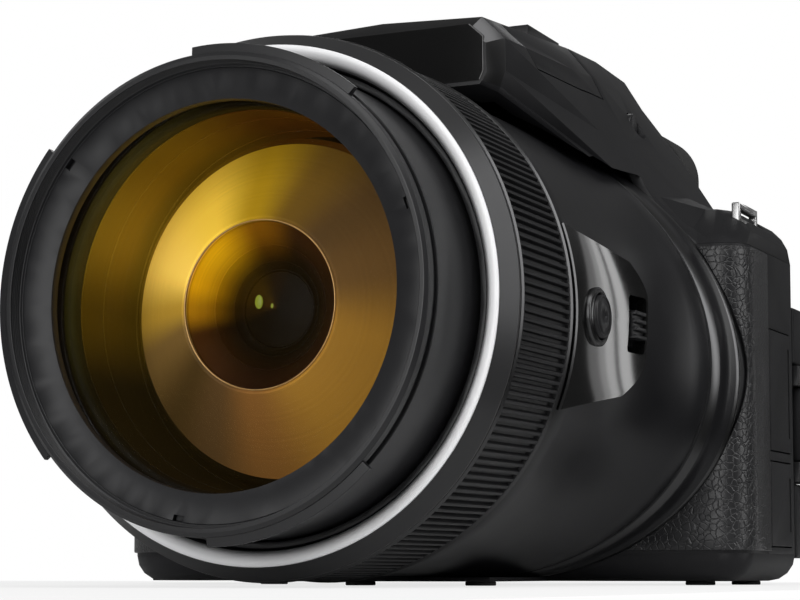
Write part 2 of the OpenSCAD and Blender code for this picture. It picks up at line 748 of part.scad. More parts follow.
module hot_shoe() {
    rail_gap = 18.7;
    z1 = shoe_z + 0.6;
    y0 = -shoe_f - shoe_l / 2;
    color([0.75, 0.75, 0.75]) difference() {
        box(-shoe_w / 2, shoe_w / 2, y0, y0 + shoe_l, shoe_z, shoe_z + 3.9);
        box(-rail_gap / 2, rail_gap / 2, y0 + 1.4, y0 + shoe_l + 1, z1, z1 + 2.1);
        box(-6.3, 6.3, y0 + 1.4, y0 + shoe_l + 1, z1, z1 + 5);
    }
}

diopter_y = 33;
diopter_r = 4;
diopter_x0 = eye_w - eye_wall - slide_gap;
diopter_proud = 1.4;
module eyepiece_housing() {
    color([0.08, 0.08, 0.08]) difference() {
        eye_tube(eye_w, eye_h, eye_corner, hump_rear - 7, eye_rear);
        eye_bore(hump_rear - 8, eye_rear + 1);
        along_x(eye_w - eye_wall - 1, diopter_y, eye_z)
            cylinder(r = diopter_r + pin_gap, h = eye_wall + 2, $fn = 48);
    }
}

eyecup_t = 8;
eyecup_grip = 3;
module eyecup() {
    color([0.12, 0.12, 0.12]) difference() {
        eye_tube(cup_w, cup_h, cup_corner, eye_rear - eyecup_grip, eye_rear + eyecup_t);
        eye_tube(eye_w + fit_gap, eye_h + fit_gap, eye_corner + fit_gap, eye_rear - eyecup_grip - 1,
            eye_rear + fit_gap);
        eye_bore(eye_rear - 1, eye_rear + eyecup_t + 1);
    }
}

module eyepiece_lens() {
    g = eye_wall + fit_gap;
    color([0.6, 0.7, 0.8]) eye_tube(eye_w - g, eye_h - g, eye_corner - g, eye_rear - 5, eye_rear - 2);
}

module diopter_dial() {
    color([0.15, 0.15, 0.15]) along_x(diopter_x0, diopter_y, eye_z) union() {
        cylinder(r = diopter_r, h = eye_wall + slide_gap + diopter_proud, $fn = 48);
        translate([0, 0, -flange_t]) cylinder(r = diopter_r + 1, h = flange_t, $fn = 48);
    }
}

// Knurled outline: teeth as a star of two radii
module knurl_2d(r, n, depth) {
    polygon([for (i = [0:2 * n - 1]) let (a = i * 180 / n, q = i % 2 == 0 ? r : r - depth) [q * cos(a),
        q * sin(a)]]);
}

module mode_dial() {
    color([0.12, 0.12, 0.12]) translate([mode_at[0], mode_at[1], top_h + slide_gap]) union() {
        linear_extrude(mode_t) knurl_2d(mode_r, 60, 0.4);
        translate([0, 0, mode_t]) cylinder(r1 = mode_r - 0.8, r2 = mode_r - 1.4, h = 0.5, $fn = 64);
        translate([0, 0, -cover_wall - slide_gap - 1])
            cylinder(r = dial_pin_r, h = cover_wall + slide_gap + 1.2, $fn = 48);
    }
}

module command_dial() {
    color([0.12, 0.12, 0.12]) translate([command_at[0], command_at[1], command_z])
        union() {
            linear_extrude(command_t) knurl_2d(command_r, 48, 0.4);
            cylinder(r = command_pin_r, h = command_t + slide_gap + command_pin_h, $fn = 32);
        }
}

module zoom_lever() {
    color([0.12, 0.12, 0.12]) translate([shutter_at[0], shutter_at[1], top_h + slide_gap]) difference() {
        union() {
            cylinder(r = lever_r, h = 3.4, $fn = 64);
            translate([-2, -lever_r - 3, 0]) cube([4, 5, 3.4]);
        }
        translate([0, 0, -1]) cylinder(r = shutter_r + slide_gap, h = 6, $fn = 64);
    }
}

module shutter_button() {
    z = top_h - cover_wall - press_travel;
    color([0.2, 0.2, 0.2]) translate([shutter_at[0], shutter_at[1], z]) union() {
        cylinder(r = shutter_r, h = top_h + 4.6 - z, $fn = 64);
        translate([0, 0, -flange_t]) cylinder(r = shutter_r + 1, h = flange_t, $fn = 64);
    }
}

module power_button() {
    z = top_h - cover_wall - press_travel - 0.2;
    color([0.2, 0.2, 0.2]) translate([power_at[0], power_at[1], z]) union() {
        cylinder(r = power_r, h = top_h + 0.9 - z, $fn = 64);
        translate([0, 0, -flange_t]) cylinder(r = power_r + 1, h = flange_t, $fn = 64);
    }
}

module fixed_barrel() {
    color([0.06, 0.06, 0.06]) lens_turned([[fixed_ri, barrel_back], [fixed_ro, barrel_back],
        [fixed_ro, chrome_back], [chrome_ri - fit_gap, chrome_back], [chrome_ri - fit_gap, trim_f],
        [fixed_ri, trim_f - 1.7]]);
}

module trim_ring() {
    inner = fixed_ro + fit_gap;
    color([0.25, 0.25, 0.25]) lens_turned([[inner, trim_back], [ring_ro, trim_back],
        [ring_ro, trim_back + 0.5], [chrome_ro + fit_gap, trim_f - 0.3],
        [chrome_ro + fit_gap, chrome_back - fit_gap], [inner, chrome_back - fit_gap]]);
}

module chrome_ring() {
    color([0.9, 0.9, 0.9]) lens_tube(chrome_ri, chrome_ro, chrome_back, trim_f);
}

// Control ring: toothed band between two plain lips
rib_depth = 0.8;
lip_t = 1;
module rib_outline() {
    polygon([for (i = [0:rib_count - 1], t = [0:3])
        let (a = (i + [0, 0.12, 0.5, 0.62][t]) * 360 / rib_count,
            r = t == 1 || t == 2 ? ring_ro : ring_ro - rib_depth)
        [r * cos(a), r * sin(a)]]);
}

module control_ring() {
    color([0.08, 0.08, 0.08]) union() {
        lens_tube(ring_ri, ring_ro - 0.1, ring_back, ring_back + lip_t);
        lens_tube(ring_ri, ring_ro - 0.5, ring_front - lip_t, ring_front);
        translate([0, -ring_back - lip_t, axis_h]) rotate([90, 0, 0])
            linear_extrude(ring_front - ring_back - 2 * lip_t) difference() {
                rib_outline();
                circle(r = ring_ri, $fn = 96);
            }
    }
}

module middle_barrel() {
    color([0.07, 0.07, 0.07]) lens_tube(mid_ri, mid_ro, mid_back, mid_front);
}

// Front barrel: tube with the lens seat, the bayonet groove and lugs, and the filter thread
groove_f = rim_f - 3.6;
groove_w = 1.4;
rim_r = front_ro - 0.2;
seat_f = name_f - 6.8;
seat_r = opening_r + 4.6;
name_r = filter_r - 0.65;
name_back = name_f - 2.9;
lug_r = front_ro + 1.35;
lug_arcs = [[140, 80], [50, 45], [270, 45]];
module front_barrel() {
    lip_f = groove_f + groove_w;
    color([0.08, 0.08, 0.08]) union() {
        lens_turned([[front_ri, front_back], [front_ro, front_back], [front_ro, groove_f],
            [front_ro - 0.8, groove_f], [front_ro - 0.8, lip_f], [rim_r, lip_f], [rim_r, rim_f - 0.5],
            [filter_r + 0.8, rim_f], [filter_r, rim_f], [filter_r, name_f], [name_r + fit_gap, name_f],
            [name_r + fit_gap, name_back - fit_gap], [seat_r, name_back - fit_gap], [seat_r, seat_f],
            [opening_r + 1.7, seat_f], [opening_r + 1.7, seat_f - 2], [front_ri, seat_f - 6]]);
        for (arc = lug_arcs) translate([0, 0, axis_h]) rotate([90, 0, 0])
            rotate_extrude(angle = arc[1], start = arc[0], $fn = 96)
                polygon([[rim_r - 0.6, lip_f], [lug_r, lip_f], [lug_r, lip_f + 1.1],
                    [rim_r - 0.6, lip_f + 1.5]]);
    }
}

notch_w = 2;
module name_ring() {
    color([0.05, 0.05, 0.05]) difference() {
        lens_turned([[opening_r, name_back], [name_r, name_back], [name_r, name_f],
            [opening_r, name_f - 1.1]]);
        for (a = [20, 140, 260]) translate([0, 0, axis_h]) rotate([0, -a, 0])
            translate([name_r - 1, -name_f - 1, -notch_w / 2]) cube([3, 2.2, notch_w]);
    }
}

module front_lens() {
    radius = 165;
    apex = name_f;
    color([0.8, 0.7, 0.4]) intersection() {
        along_y(0, -seat_f - fit_gap, axis_h) cylinder(r = seat_r - fit_gap, h = 9, $fn = 180);
        translate([0, radius - apex, axis_h]) sphere(r = radius, $fn = 180);
    }
}

baffle_back = name_f - 35;
baffle_front = seat_f - 6 - slide_gap;
baffle_r = opening_r - 0.4;
module light_baffle() {
    color([0.05, 0.05, 0.05]) lens_turned([[baffle_r, baffle_back], [baffle_r + 1.2, baffle_back],
        [baffle_r + 1.2, baffle_front - 1.2], [front_ri - fit_gap, baffle_front - 1.2],
        [front_ri - fit_gap, baffle_front], [baffle_r + 0.8, baffle_front],
        [baffle_r + 0.8, baffle_front + 3], [baffle_r, baffle_front + 3]]);
}

// Variator: gold cone with its cell, which slides on the guide rods
cone_back = name_f - 30.8;
cone_front = name_f - 17;
cone_r = baffle_r - slide_gap;
cell_back = name_f - 62;
cell_ri = cone_hole_r - 1.2;
sleeve_f0 = cell_back;
sleeve_f1 = cell_back + 18;
sleeve_r = 2.3;
rod_angles = [60, 240];
module variator_cell() {
    color([0.7, 0.55, 0.2]) difference() {
        union() {
            lens_turned([[cell_ri, cell_back], [cone_hole_r + 1.4, cell_back],
                [cone_hole_r + 1.4, cone_front - 3.2], [cone_r, cone_back - 1.4], [cone_r, cone_back],
                [cone_hole_r, cone_front], [cell_ri, cone_front]]);
            for (a = rod_angles) translate([0, -sleeve_f0, axis_h]) rotate([0, -a, 0]) union() {
                translate([cone_hole_r, -5, -1.5]) cube([rod_at - cone_hole_r, 5, 3]);
                translate([rod_at, 0, 0]) rotate([90, 0, 0])
                    cylinder(r = sleeve_r, h = sleeve_f1 - sleeve_f0, $fn = 32);
            }
        }
        for (a = rod_angles) translate([0, -sleeve_f0 + 1, axis_h]) rotate([0, -a, 0])
            translate([rod_at, 0, 0]) rotate([90, 0, 0])
                cylinder(r = rod_r + pin_gap, h = sleeve_f1 - sleeve_f0 + 2, $fn = 32);
    }
}

module glass_disc(r, back, t, radius) {
    intersection() {
        along_y(0, -back, axis_h) cylinder(r = r, h = t, $fn = 180);
        translate([0, radius - back - t, axis_h]) sphere(r = radius, $fn = 180);
    }
}

module variator_lens() {
    r = cell_ri - fit_gap;
    color([0.4, 0.3, 0.1]) union() {
        glass_disc(r, cone_front - 11, 4, 60);
        glass_disc(r, cell_back + 12, 4, 40);
    }
}

plate_t = 4;
module lens_rear_plate() {
    color([0.2, 0.2, 0.2]) difference() {
        lens_tube(13, fixed_ro, barrel_back - fit_gap - plate_t, barrel_back - fit_gap);
        for (a = rod_angles) translate([0, -barrel_back - 1, axis_h]) rotate([0, -a, 0])
            translate([rod_at, 0, 0]) rotate([-90, 0, 0])
                cylinder(r = rod_r + 0.02, h = plate_t + 3, $fn = 32);
        box(-fixed_ro, fixed_ro, -barrel_back - 1, -barrel_back + plate_t + 2, 0, body_base + fit_gap);
    }
}

rod_front = baffle_front - 2.4;
module guide_rods() {
    color([0.8, 0.8, 0.8]) for (a = rod_angles) translate([0, -barrel_back + plate_t, axis_h])
        rotate([0, -a, 0])
        translate([rod_at, 0, 0]) rotate([90, 0, 0])
            cylinder(r = rod_r, h = rod_front - barrel_back + plate_t, $fn = 32);
}

// Rear lens cell with the iris plate across its front
cell_front = cell_back - 10;
module rear_lens_cell() {
    color([0.1, 0.1, 0.1]) union() {
        lens_tube(17, 20, barrel_back, cell_front);
        lens_tube(6, 20, cell_front, cell_front + 1);
        lens_tube(12, 20, barrel_back, barrel_back + 2);
    }
}

sensor_y = -barrel_back + plate_t + fit_gap;
module image_sensor() {
    color([0.1, 0.25, 0.3]) union() {
        box(-13, 13, sensor_y + fit_gap, sensor_y + 2, axis_h - 11, axis_h + 11);
        box(-22, 22, sensor_y + 2, sensor_y + 3.6, axis_h - 18, axis_h + 18);
    }
}

board_y = body_rear - cover_wall - 6;
module main_board() {
    color([0.1, 0.35, 0.2]) union() {
        box(-44, body_right - 8, board_y, board_y + 1.6, body_base + 4, top_seam - 4);
        for (x = [-30, 40], z = [body_base + 9, top_seam - 9])
            along_y(x, body_rear - cover_wall - fit_gap, z) cylinder(r = 2.2, h = 4.4, $fn = 24);
    }
}

module zoom_motor() {
    motor_y = 10;
    motor_l = 16;
    color([0.6, 0.6, 0.6]) along_y(44, motor_y, 17) union() {
        cylinder(r = 6, h = motor_l, $fn = 48);
        translate([0, 0, motor_l])
            cylinder(r = 4, h = motor_y - motor_l + body_front - cover_wall - fit_gap, $fn = 48);
    }
}

module battery() {
    color([0.3, 0.3, 0.3]) box(door_x0 + 4, door_x1 - 4, door_y0 + 1.5, door_y1 - 1.5,
        base_z + cover_wall + 0.2, top_seam - 11.6);
}

// Battery door: its inner edge is a round knuckle with a pin at each end
module battery_door() {
    g = slide_gap;
    color([0.1, 0.1, 0.11]) difference() {
        union() {
            box(door_x0 + g, hatch_pin[0], door_y0 + g, door_y1 - g, base_z, base_z + cover_wall);
            hatch_round(hatch_knuckle, 0);
            hatch_round(hatch_pin_r, hatch_pin_l);
        }
        box(door_x0 + 3, door_x0 + 5, door_y0 + 10, door_y1 - 10, base_z - 1, base_z + 0.6);
    }
}

// Strap lugs: plate eyes on the shoulders
lug_w = 13.5;
lug_h = 6.4;
lug_t = 1.6;
lug_bar = 1.4;
lug_z = top_h - 4.6;
lug_right = [body_right - 2.9, 0.5];
lug_left = [-grip_x - grip_r + 2.2, -grip_y];
module lug_block(at, grow) {
    box(at[0] - lug_t / 2 - grow, at[0] + lug_t / 2 + grow, at[1] - lug_w / 2 - grow,
        at[1] + lug_w / 2 + grow, lug_z - grow, lug_z + lug_h);
}

module strap_lug(at) {
    w = lug_w / 2 - lug_bar;
    difference() {
        lug_block(at, 0);
        box(at[0] - lug_t, at[0] + lug_t, at[1] - w, at[1] + w, top_h - 1.3, lug_z + lug_h - lug_bar);
    }
}

module strap_lugs() {
    color([0.85, 0.85, 0.85]) union() {
        strap_lug(lug_right);
        strap_lug(lug_left);
    }
}

// Gloss side panel: lies on the shroud over a span of angles
panel_f0 = 37;
panel_f1 = ring_back - 1.2;
panel_a = 19;
panel_t = 0.9;
panel_rows = 12;
panel_cols = 8;
function panel_grid(grow) = [for (j = [0:panel_rows])
    let (f = panel_f1 + (panel_f0 - panel_f1) * j / panel_rows)
    [for (i = [0:panel_cols]) let (a = panel_a * (2 * i / panel_cols - 1))
        lens_point(f, flare_r(a, flare_k(f)) + grow, a)]];
snap_at = [-panel_f1 + 11.8, axis_h - 0.3];
snap_r = 4.3;
snap_lip = 0.8;
snap_x0 = fixed_ro + press_travel + 0.2;
snap_l = 3.2;
module snap_back_hole() {
    along_x(fixed_ro - 4, snap_at[0], snap_at[1]) union() {
        cylinder(r = snap_r + slide_gap, h = 12, $fn = 48);
        cylinder(r = snap_r + snap_lip + slide_gap, h = snap_x0 - fixed_ro + 4 + flange_t, $fn = 48);
    }
}

slider_y = -43;
slider_w = 6;
slider_h = 5.2;
slider_travel = 2.4;
slider_x0 = fixed_ro + 0.4;
slider_l = 3.7;
slider_lip = 1;
module slider_room(w, h, x1) {
    g = slide_gap;
    box(fixed_ro - 4, x1, slider_y - w - g, slider_y + w + g, axis_h - h - slider_travel - g,
        axis_h + h + slider_travel + g);
}

module slider_slot() {
    slider_room(slider_w / 2, slider_h / 2, fixed_ro + 10);
    slider_room(slider_w / 2 + slider_lip, slider_h / 2 + slider_lip, slider_x0 + flange_t);
}

module zoom_panel() {
    color([0.03, 0.03, 0.03]) difference() {
        slab(panel_grid(panel_t), panel_grid(2 * fit_gap));
        snap_back_hole();
        slider_slot();
    }
}

module snap_back_button() {
    color([0.06, 0.06, 0.06]) along_x(snap_x0, snap_at[0], snap_at[1]) union() {
        cylinder(r = snap_r, h = snap_l, $fn = 48);
        cylinder(r = snap_r + snap_lip, h = flange_t - slide_gap, $fn = 48);
    }
}

module side_zoom_slider() {
    y0 = slider_y - slider_w / 2;
    z0 = axis_h - slider_h / 2;
    rib_h = slider_h / 7;
    color([0.08, 0.08, 0.08]) union() {
        box(slider_x0, slider_x0 + slider_l - 0.7, y0, y0 + slider_w, z0, z0 + slider_h);
        box(slider_x0, slider_x0 + flange_t - slide_gap, y0 - slider_lip, y0 + slider_w + slider_lip,
            z0 - slider_lip, z0 + slider_h + slider_lip);
        for (i = [0:3]) box(slider_x0 + 1, slider_x0 + slider_l, y0, y0 + slider_w,
            z0 + 2 * i * rib_h, z0 + (2 * i + 1) * rib_h);
    }
}

// Swing-out screen: panel with a notch for its arm, on a pin in a bracket on the rear cover
screen_y = body_rear + 0.3;
hinge_x = body_right - 2;
hinge_y = screen_y + screen_t / 2 + 0.6;
hinge_r = 4;
pin_r = 1.5;
hinge_low = screen_z + 16;
hinge_high = hinge_low + 25;
knuckle_h = 4.4;
screen_x1 = hinge_x + 1;
screen_x0 = screen_x1 - screen_w;
notch_x = hinge_x - 11.5;
module screen_panel() {
    color([0.1, 0.1, 0.1]) difference() {
        box(screen_x0, screen_x1, screen_y, screen_y + screen_t, screen_z, screen_z + screen_h);
        box(notch_x, screen_x1 + 1, screen_y - 1, screen_y + screen_t + 1, hinge_low - slide_gap,
            hinge_high + slide_gap);
        box(screen_x0 + 4, notch_x - 3, screen_y + screen_t - 1.5, screen_y + screen_t + 1, screen_z + 3,
            screen_z + screen_h - 3);
    }
}

module screen_glass() {
    g = fit_gap;
    color([0.05, 0.06, 0.08]) box(screen_x0 + 4 + g, notch_x - 3 - g, screen_y + screen_t - 1.5 + g,
        screen_y + screen_t - 0.2, screen_z + 3 + g, screen_z + screen_h - 3 - g);
}

module screen_bracket() {
    color([0.15, 0.15, 0.15]) union() {
        for (z = [hinge_low, hinge_high - knuckle_h]) union() {
            translate([hinge_x, hinge_y, z]) cylinder(r = hinge_r, h = knuckle_h, $fn = 48);
            box(hinge_x - 3, hinge_x + 2, body_rear + fit_gap, hinge_y, z, z + knuckle_h);
        }
        translate([hinge_x, hinge_y, hinge_low + 1])
            cylinder(r = pin_r, h = hinge_high - hinge_low - 2, $fn = 32);
    }
}

module screen_arm() {
    z0 = hinge_low + knuckle_h + slide_gap;
    z1 = hinge_high - knuckle_h - slide_gap;
    color([0.15, 0.15, 0.15]) difference() {
        union() {
            translate([hinge_x, hinge_y, z0]) cylinder(r = hinge_r, h = z1 - z0, $fn = 48);
            box(notch_x + fit_gap, hinge_x, hinge_y - 3, hinge_y + 3.5, z0, z1);
        }
        translate([hinge_x, hinge_y, z0 - 1]) cylinder(r = pin_r + pin_gap, h = z1 - z0 + 2, $fn = 32);
    }
}

// Door of the sockets: its front edge is a round knuckle with a pin at each end
module side_door(low, high) {
    difference() {
        union() {
            box(body_right - door_t + door_proud, body_right + door_proud, door_pin[1], door_rear, low, high);
            door_round(low, high, door_knuckle, 0);
            door_round(low, high, door_pin_r, door_pin_l);
        }
        box(body_right + door_proud - 0.4, body_right + 2, door_rear - 2, door_rear + 1, low + 3, high - 3);
    }
}

module connector_door() {
    color([0.1, 0.1, 0.1]) side_door(connector_low, connector_high);
}

module power_door() {
    color([0.1, 0.1, 0.1]) side_door(power_low, power_high);
}

module rear_button(at, r, proud) {
    along_y(at[0], body_rear + proud, at[1]) union() {
        cylinder(r = r, h = proud + button_deep, $fn = 48);
        translate([0, 0, proud + cover_wall + 0.3]) cylinder(r = r + 1, h = flange_t, $fn = 48);
    }
}

module movie_button() {
    color([0.5, 0.1, 0.1]) rear_button(movie_at, button_r, button_proud);
}

module playback_button() {
    color([0.12, 0.12, 0.12]) rear_button(playback_at, button_r, button_proud);
}

module menu_button() {
    color([0.12, 0.12, 0.12]) rear_button(menu_at, button_r, button_proud);
}

module delete_button() {
    color([0.12, 0.12, 0.12]) rear_button(delete_at, button_r, button_proud);
}

ok_r = 4.2;
module selector_dial() {
    color([0.12, 0.12, 0.12]) difference() {
        along_y(selector_at[0], body_rear + 1.6, selector_at[1]) union() {
            linear_extrude(1.4) knurl_2d(selector_r, 48, 0.3);
            translate([0, 0, 1.4]) cylinder(r = selector_r - 0.4, h = cover_wall + 0.8, $fn = 64);
            translate([0, 0, cover_wall + 1.9]) cylinder(r = selector_r + 1, h = flange_t, $fn = 64);
        }
        along_y(selector_at[0], body_rear + 3, selector_at[1])
            cylinder(r = ok_r + slide_gap, h = 10, $fn = 48);
    }
}

module ok_button() {
    color([0.15, 0.15, 0.15]) along_y(selector_at[0], body_rear + 2, selector_at[1]) union() {
        cylinder(r = ok_r, h = cover_wall + 3.8, $fn = 48);
        translate([0, 0, cover_wall + 3.4]) cylinder(r = ok_r + 1, h = flange_t, $fn = 48);
    }
}

module case_screws() {
    color([0.3, 0.3, 0.3]) for (p = screws) translate([p[0], p[1], base_z]) union() {
        cylinder(r = head_r, h = head_t, $fn = 24);
        cylinder(r = screw_r, h = screw_l, $fn = 24);
    }
}

front_cover();
rear_cover();
top_cover();
bottom_cover();
lens_shroud();
front_bezel();
side_leather();
grip_rubber();
hump_panel();
flash_head();
flash_window();
flash_button();
hot_shoe();
eyepiece_housing();
eyecup();
eyepiece_lens();
diopter_dial();
mode_dial();
command_dial();
shutter_button();
zoom_lever();
power_button();
fixed_barrel();
trim_ring();
chrome_ring();
control_ring();
middle_barrel();
front_barrel();
name_ring();
front_lens();
light_baffle();
variator_cell();
variator_lens();
guide_rods();
lens_rear_plate();
rear_lens_cell();
image_sensor();
main_board();
zoom_motor();
battery();
battery_door();
tripod_socket();
base_feet();
strap_lugs();
zoom_panel();
snap_back_button();
side_zoom_slider();
screen_bracket();
screen_arm();
screen_panel();
screen_glass();
connector_door();
power_door();
selector_dial();
ok_button();
movie_button();
playback_button();
menu_button();
delete_button();
case_screws();
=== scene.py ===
import json
import math

import bmesh
import bpy
from mathutils import Matrix, Vector


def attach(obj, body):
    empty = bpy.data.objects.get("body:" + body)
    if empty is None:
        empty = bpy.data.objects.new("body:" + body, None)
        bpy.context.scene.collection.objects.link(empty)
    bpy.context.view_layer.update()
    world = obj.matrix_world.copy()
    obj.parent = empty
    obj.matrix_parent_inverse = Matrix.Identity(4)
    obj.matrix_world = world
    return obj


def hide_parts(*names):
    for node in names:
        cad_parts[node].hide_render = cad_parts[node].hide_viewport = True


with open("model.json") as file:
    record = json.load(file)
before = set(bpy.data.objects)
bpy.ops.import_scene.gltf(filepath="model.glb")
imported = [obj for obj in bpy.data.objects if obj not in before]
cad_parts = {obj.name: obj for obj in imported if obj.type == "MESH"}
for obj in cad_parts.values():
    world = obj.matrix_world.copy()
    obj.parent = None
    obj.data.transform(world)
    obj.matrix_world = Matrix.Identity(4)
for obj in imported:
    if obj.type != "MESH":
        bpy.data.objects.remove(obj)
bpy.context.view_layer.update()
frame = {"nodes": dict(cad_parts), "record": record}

# Camera: set low beside the table and turned towards the lens, with a long lens and a small rise.
# The place comes from the circles of the lens rings as the photograph shows them.
yaw, pitch = math.radians(-25.25), math.radians(5.098)
look = Vector((math.sin(yaw) * math.cos(pitch), math.cos(yaw) * math.cos(pitch), math.sin(pitch)))
camera = bpy.data.objects.new("camera", bpy.data.cameras.new("camera"))
camera.location = (0.17784, -0.42523, 0.00262)
camera.rotation_euler = look.to_track_quat("-Z", "Y").to_euler()
camera.data.lens = 96.9
camera.data.sensor_width = 36
camera.data.shift_y = 0.1
camera.data.clip_start = 0.01
bpy.context.scene.collection.objects.link(camera)
bpy.context.scene.camera = camera

# Bottom cover: moulded tray of glass-filled black plastic with a rounded lower edge, screwed to the other
# covers. Its surface is spark-eroded to a fine even grain, which the front and rear covers share.
bodies = frame["record"]["behaviour"]["bodies"]
body_of = {node: body for body, group in bodies.items() for node in group}


def finish(name, colour, roughness, grain, depth, drift=0.15, metallic=0.0, coat=0.0, specular=0.25):
    """Material with a fine grain in its bump and a slow drift in its colour and roughness."""
    material = bpy.data.materials.new(name)
    material.use_nodes = True
    tree = material.node_tree
    link = tree.links.new
    shader = tree.nodes["Principled BSDF"]
    place = tree.nodes.new("ShaderNodeTexCoord")
    fine = tree.nodes.new("ShaderNodeTexNoise")
    fine.inputs["Scale"].default_value = 1 / grain
    fine.inputs["Detail"].default_value = 2
    slow = tree.nodes.new("ShaderNodeTexNoise")
    slow.inputs["Scale"].default_value = 90
    slow.inputs["Detail"].default_value = 4
    for noise in (fine, slow):
        link(place.outputs["Object"], noise.inputs["Vector"])
    tone = tree.nodes.new("ShaderNodeValToRGB")
    tone.color_ramp.elements[0].position = 0.3
    tone.color_ramp.elements[0].color = [c * (1 - drift) for c in colour] + [1]
    tone.color_ramp.elements[1].position = 0.7
    tone.color_ramp.elements[1].color = [min(1, c * (1 + drift)) for c in colour] + [1]
    link(slow.outputs["Fac"], tone.inputs["Fac"])
    link(tone.outputs["Color"], shader.inputs["Base Color"])
    gloss = tree.nodes.new("ShaderNodeMapRange")
    gloss.inputs["To Min"].default_value = roughness * (1 - drift)
    gloss.inputs["To Max"].default_value = min(1, roughness * (1 + drift))
    link(slow.outputs["Fac"], gloss.inputs["Value"])
    link(gloss.outputs["Result"], shader.inputs["Roughness"])
    bump = tree.nodes.new("ShaderNodeBump")
    bump.inputs["Strength"].default_value = 1
    bump.inputs["Distance"].default_value = depth
    link(fine.outputs["Fac"], bump.inputs["Height"])
    link(bump.outputs["Normal"], shader.inputs["Normal"])
    shader.inputs["Metallic"].default_value = metallic
    shader.inputs["Coat Weight"].default_value = coat
    shader.inputs["Coat Roughness"].default_value = 0.04
    shader.inputs["Specular IOR Level"].default_value = specular
    return material


def add_piece(name, shape, material):
    """Make the bmesh an object with smooth faces."""
    mesh = bpy.data.meshes.new(name)
    for face in shape.faces:
        face.smooth = True
    shape.to_mesh(mesh)
    shape.free()
    mesh.materials.append(material)
    piece = bpy.data.objects.new(name, mesh)
    bpy.context.scene.collection.objects.link(piece)
    return piece


def place_piece(name, shape, material, node, edge=0.0, limit=30):
    """Add a piece that stands for a CAD node, with its edges broken where they bend more than limit."""
    piece = add_piece(name, shape, material)
    if edge:
        broken = piece.modifiers.new("broken_edges", "BEVEL")
        broken.width = edge
        broken.segments = 2
        broken.limit_method = "ANGLE"
        broken.angle_limit = math.radians(limit)
        broken.harden_normals = True
    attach(piece, body_of[node])
    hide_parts(node)
    return piece


def dress(node, material, edge, limit=30, flat=0.6, shift=(0, 0, 0)):
    """Stand a copy of a CAD node in its place, merged to one skin with soft edges.

    A shift moves the copy to where the photograph shows the piece."""
    shape = bmesh.new()
    shape.from_mesh(frame["nodes"][node].data)
    bmesh.ops.remove_doubles(shape, verts=shape.verts, dist=2e-6)
    bmesh.ops.dissolve_limit(shape, angle_limit=math.radians(flat), verts=shape.verts, edges=shape.edges)
    bmesh.ops.translate(shape, vec=shift, verts=shape.verts)
    return place_piece(node + "_skin", shape, material, node, edge, limit)


cover_black = finish("cover_black", (0.009, 0.009, 0.01), 0.52, 0.00035, 0.00003, specular=0.2)
dress("bottom_cover", cover_black, 0.0003)

# Tripod socket, feet, screws and battery door: a nickel-plated threaded insert, rubber pads stuck in the
# tray, blackened cross-head screws and a hinged plastic door for the battery.
bright_steel = finish("bright_steel", (0.62, 0.62, 0.63), 0.24, 0.0006, 0.000004, 0.05, metallic=1.0,
                      specular=0.5)
foot_rubber = finish("foot_rubber", (0.03, 0.03, 0.03), 0.75, 0.0005, 0.00004)
dark_steel = finish("dark_steel", (0.12, 0.12, 0.125), 0.35, 0.0006, 0.00001, metallic=1.0)
dress("tripod_socket", bright_steel, 0.0002)
dress("base_feet", foot_rubber, 0.0002)
dress("case_screws", dark_steel, 0.0001)
dress("battery_door", cover_black, 0.0002)

# Battery, board, motor, sensor, rear lens cell and guide rods: bought-in units and turned parts inside the
# covers, hardly seen. They keep their CAD shapes and take sleeve, lacquer and metal finishes.
cell_wrap = finish("cell_wrap", (0.06, 0.06, 0.065), 0.5, 0.0008, 0.00001)
board_lacquer = finish("board_lacquer", (0.02, 0.09, 0.05), 0.35, 0.0012, 0.00004, 0.4)
motor_steel = finish("motor_steel", (0.4, 0.4, 0.4), 0.35, 0.0008, 0.00001, metallic=1.0)
sensor_black = finish("sensor_black", (0.02, 0.03, 0.035), 0.2, 0.001, 0.000005)
inner_black = finish("inner_black", (0.012, 0.012, 0.012), 0.6, 0.0006, 0.00002)
for node, material in (("battery", cell_wrap), ("main_board", board_lacquer), ("zoom_motor", motor_steel),
                       ("image_sensor", sensor_black), ("rear_lens_cell", inner_black),
                       ("lens_rear_plate", inner_black), ("guide_rods", bright_steel)):
    mesh = frame["nodes"][node].data
    mesh.materials.clear()
    mesh.materials.append(material)

# Front cover: moulded wall round the grip and beside the lens, with the ring that seats the lens unit.
# Most of it lies under the leather and the grip rubber.
dress("front_cover", cover_black, 0.0003)

# Side leather and grip rubber: thin moulded skins with a wrinkled leather grain, glued into the front cover.
# The grain is made of small pebbles with smooth tops and dark creases between them.
leather = finish("leather", (0.014, 0.014, 0.015), 0.36, 0.00025, 0.00001, specular=0.4)
tree = leather.node_tree
place = next(n for n in tree.nodes if n.type == "TEX_COORD")
warp = tree.nodes.new("ShaderNodeTexNoise")
warp.inputs["Scale"].default_value = 420
swirl = tree.nodes.new("ShaderNodeMix")
swirl.data_type = "VECTOR"
swirl.inputs["Factor"].default_value = 0.0011
pebbles = tree.nodes.new("ShaderNodeTexVoronoi")
pebbles.feature = "DISTANCE_TO_EDGE"
pebbles.inputs["Scale"].default_value = 750
pebbles.inputs["Randomness"].default_value = 1
crease = tree.nodes.new("ShaderNodeMapRange")
crease.inputs["From Max"].default_value = 0.12
crease.interpolation_type = "SMOOTHSTEP"
pebble_bump = tree.nodes.new("ShaderNodeBump")
pebble_bump.inputs["Strength"].default_value = 1
pebble_bump.inputs["Distance"].default_value = 0.00007
vector_a, vector_b, vector_result = swirl.inputs[4], swirl.inputs[5], swirl.outputs[1]
tree.links.new(place.outputs["Object"], warp.inputs["Vector"])
tree.links.new(place.outputs["Object"], vector_a)
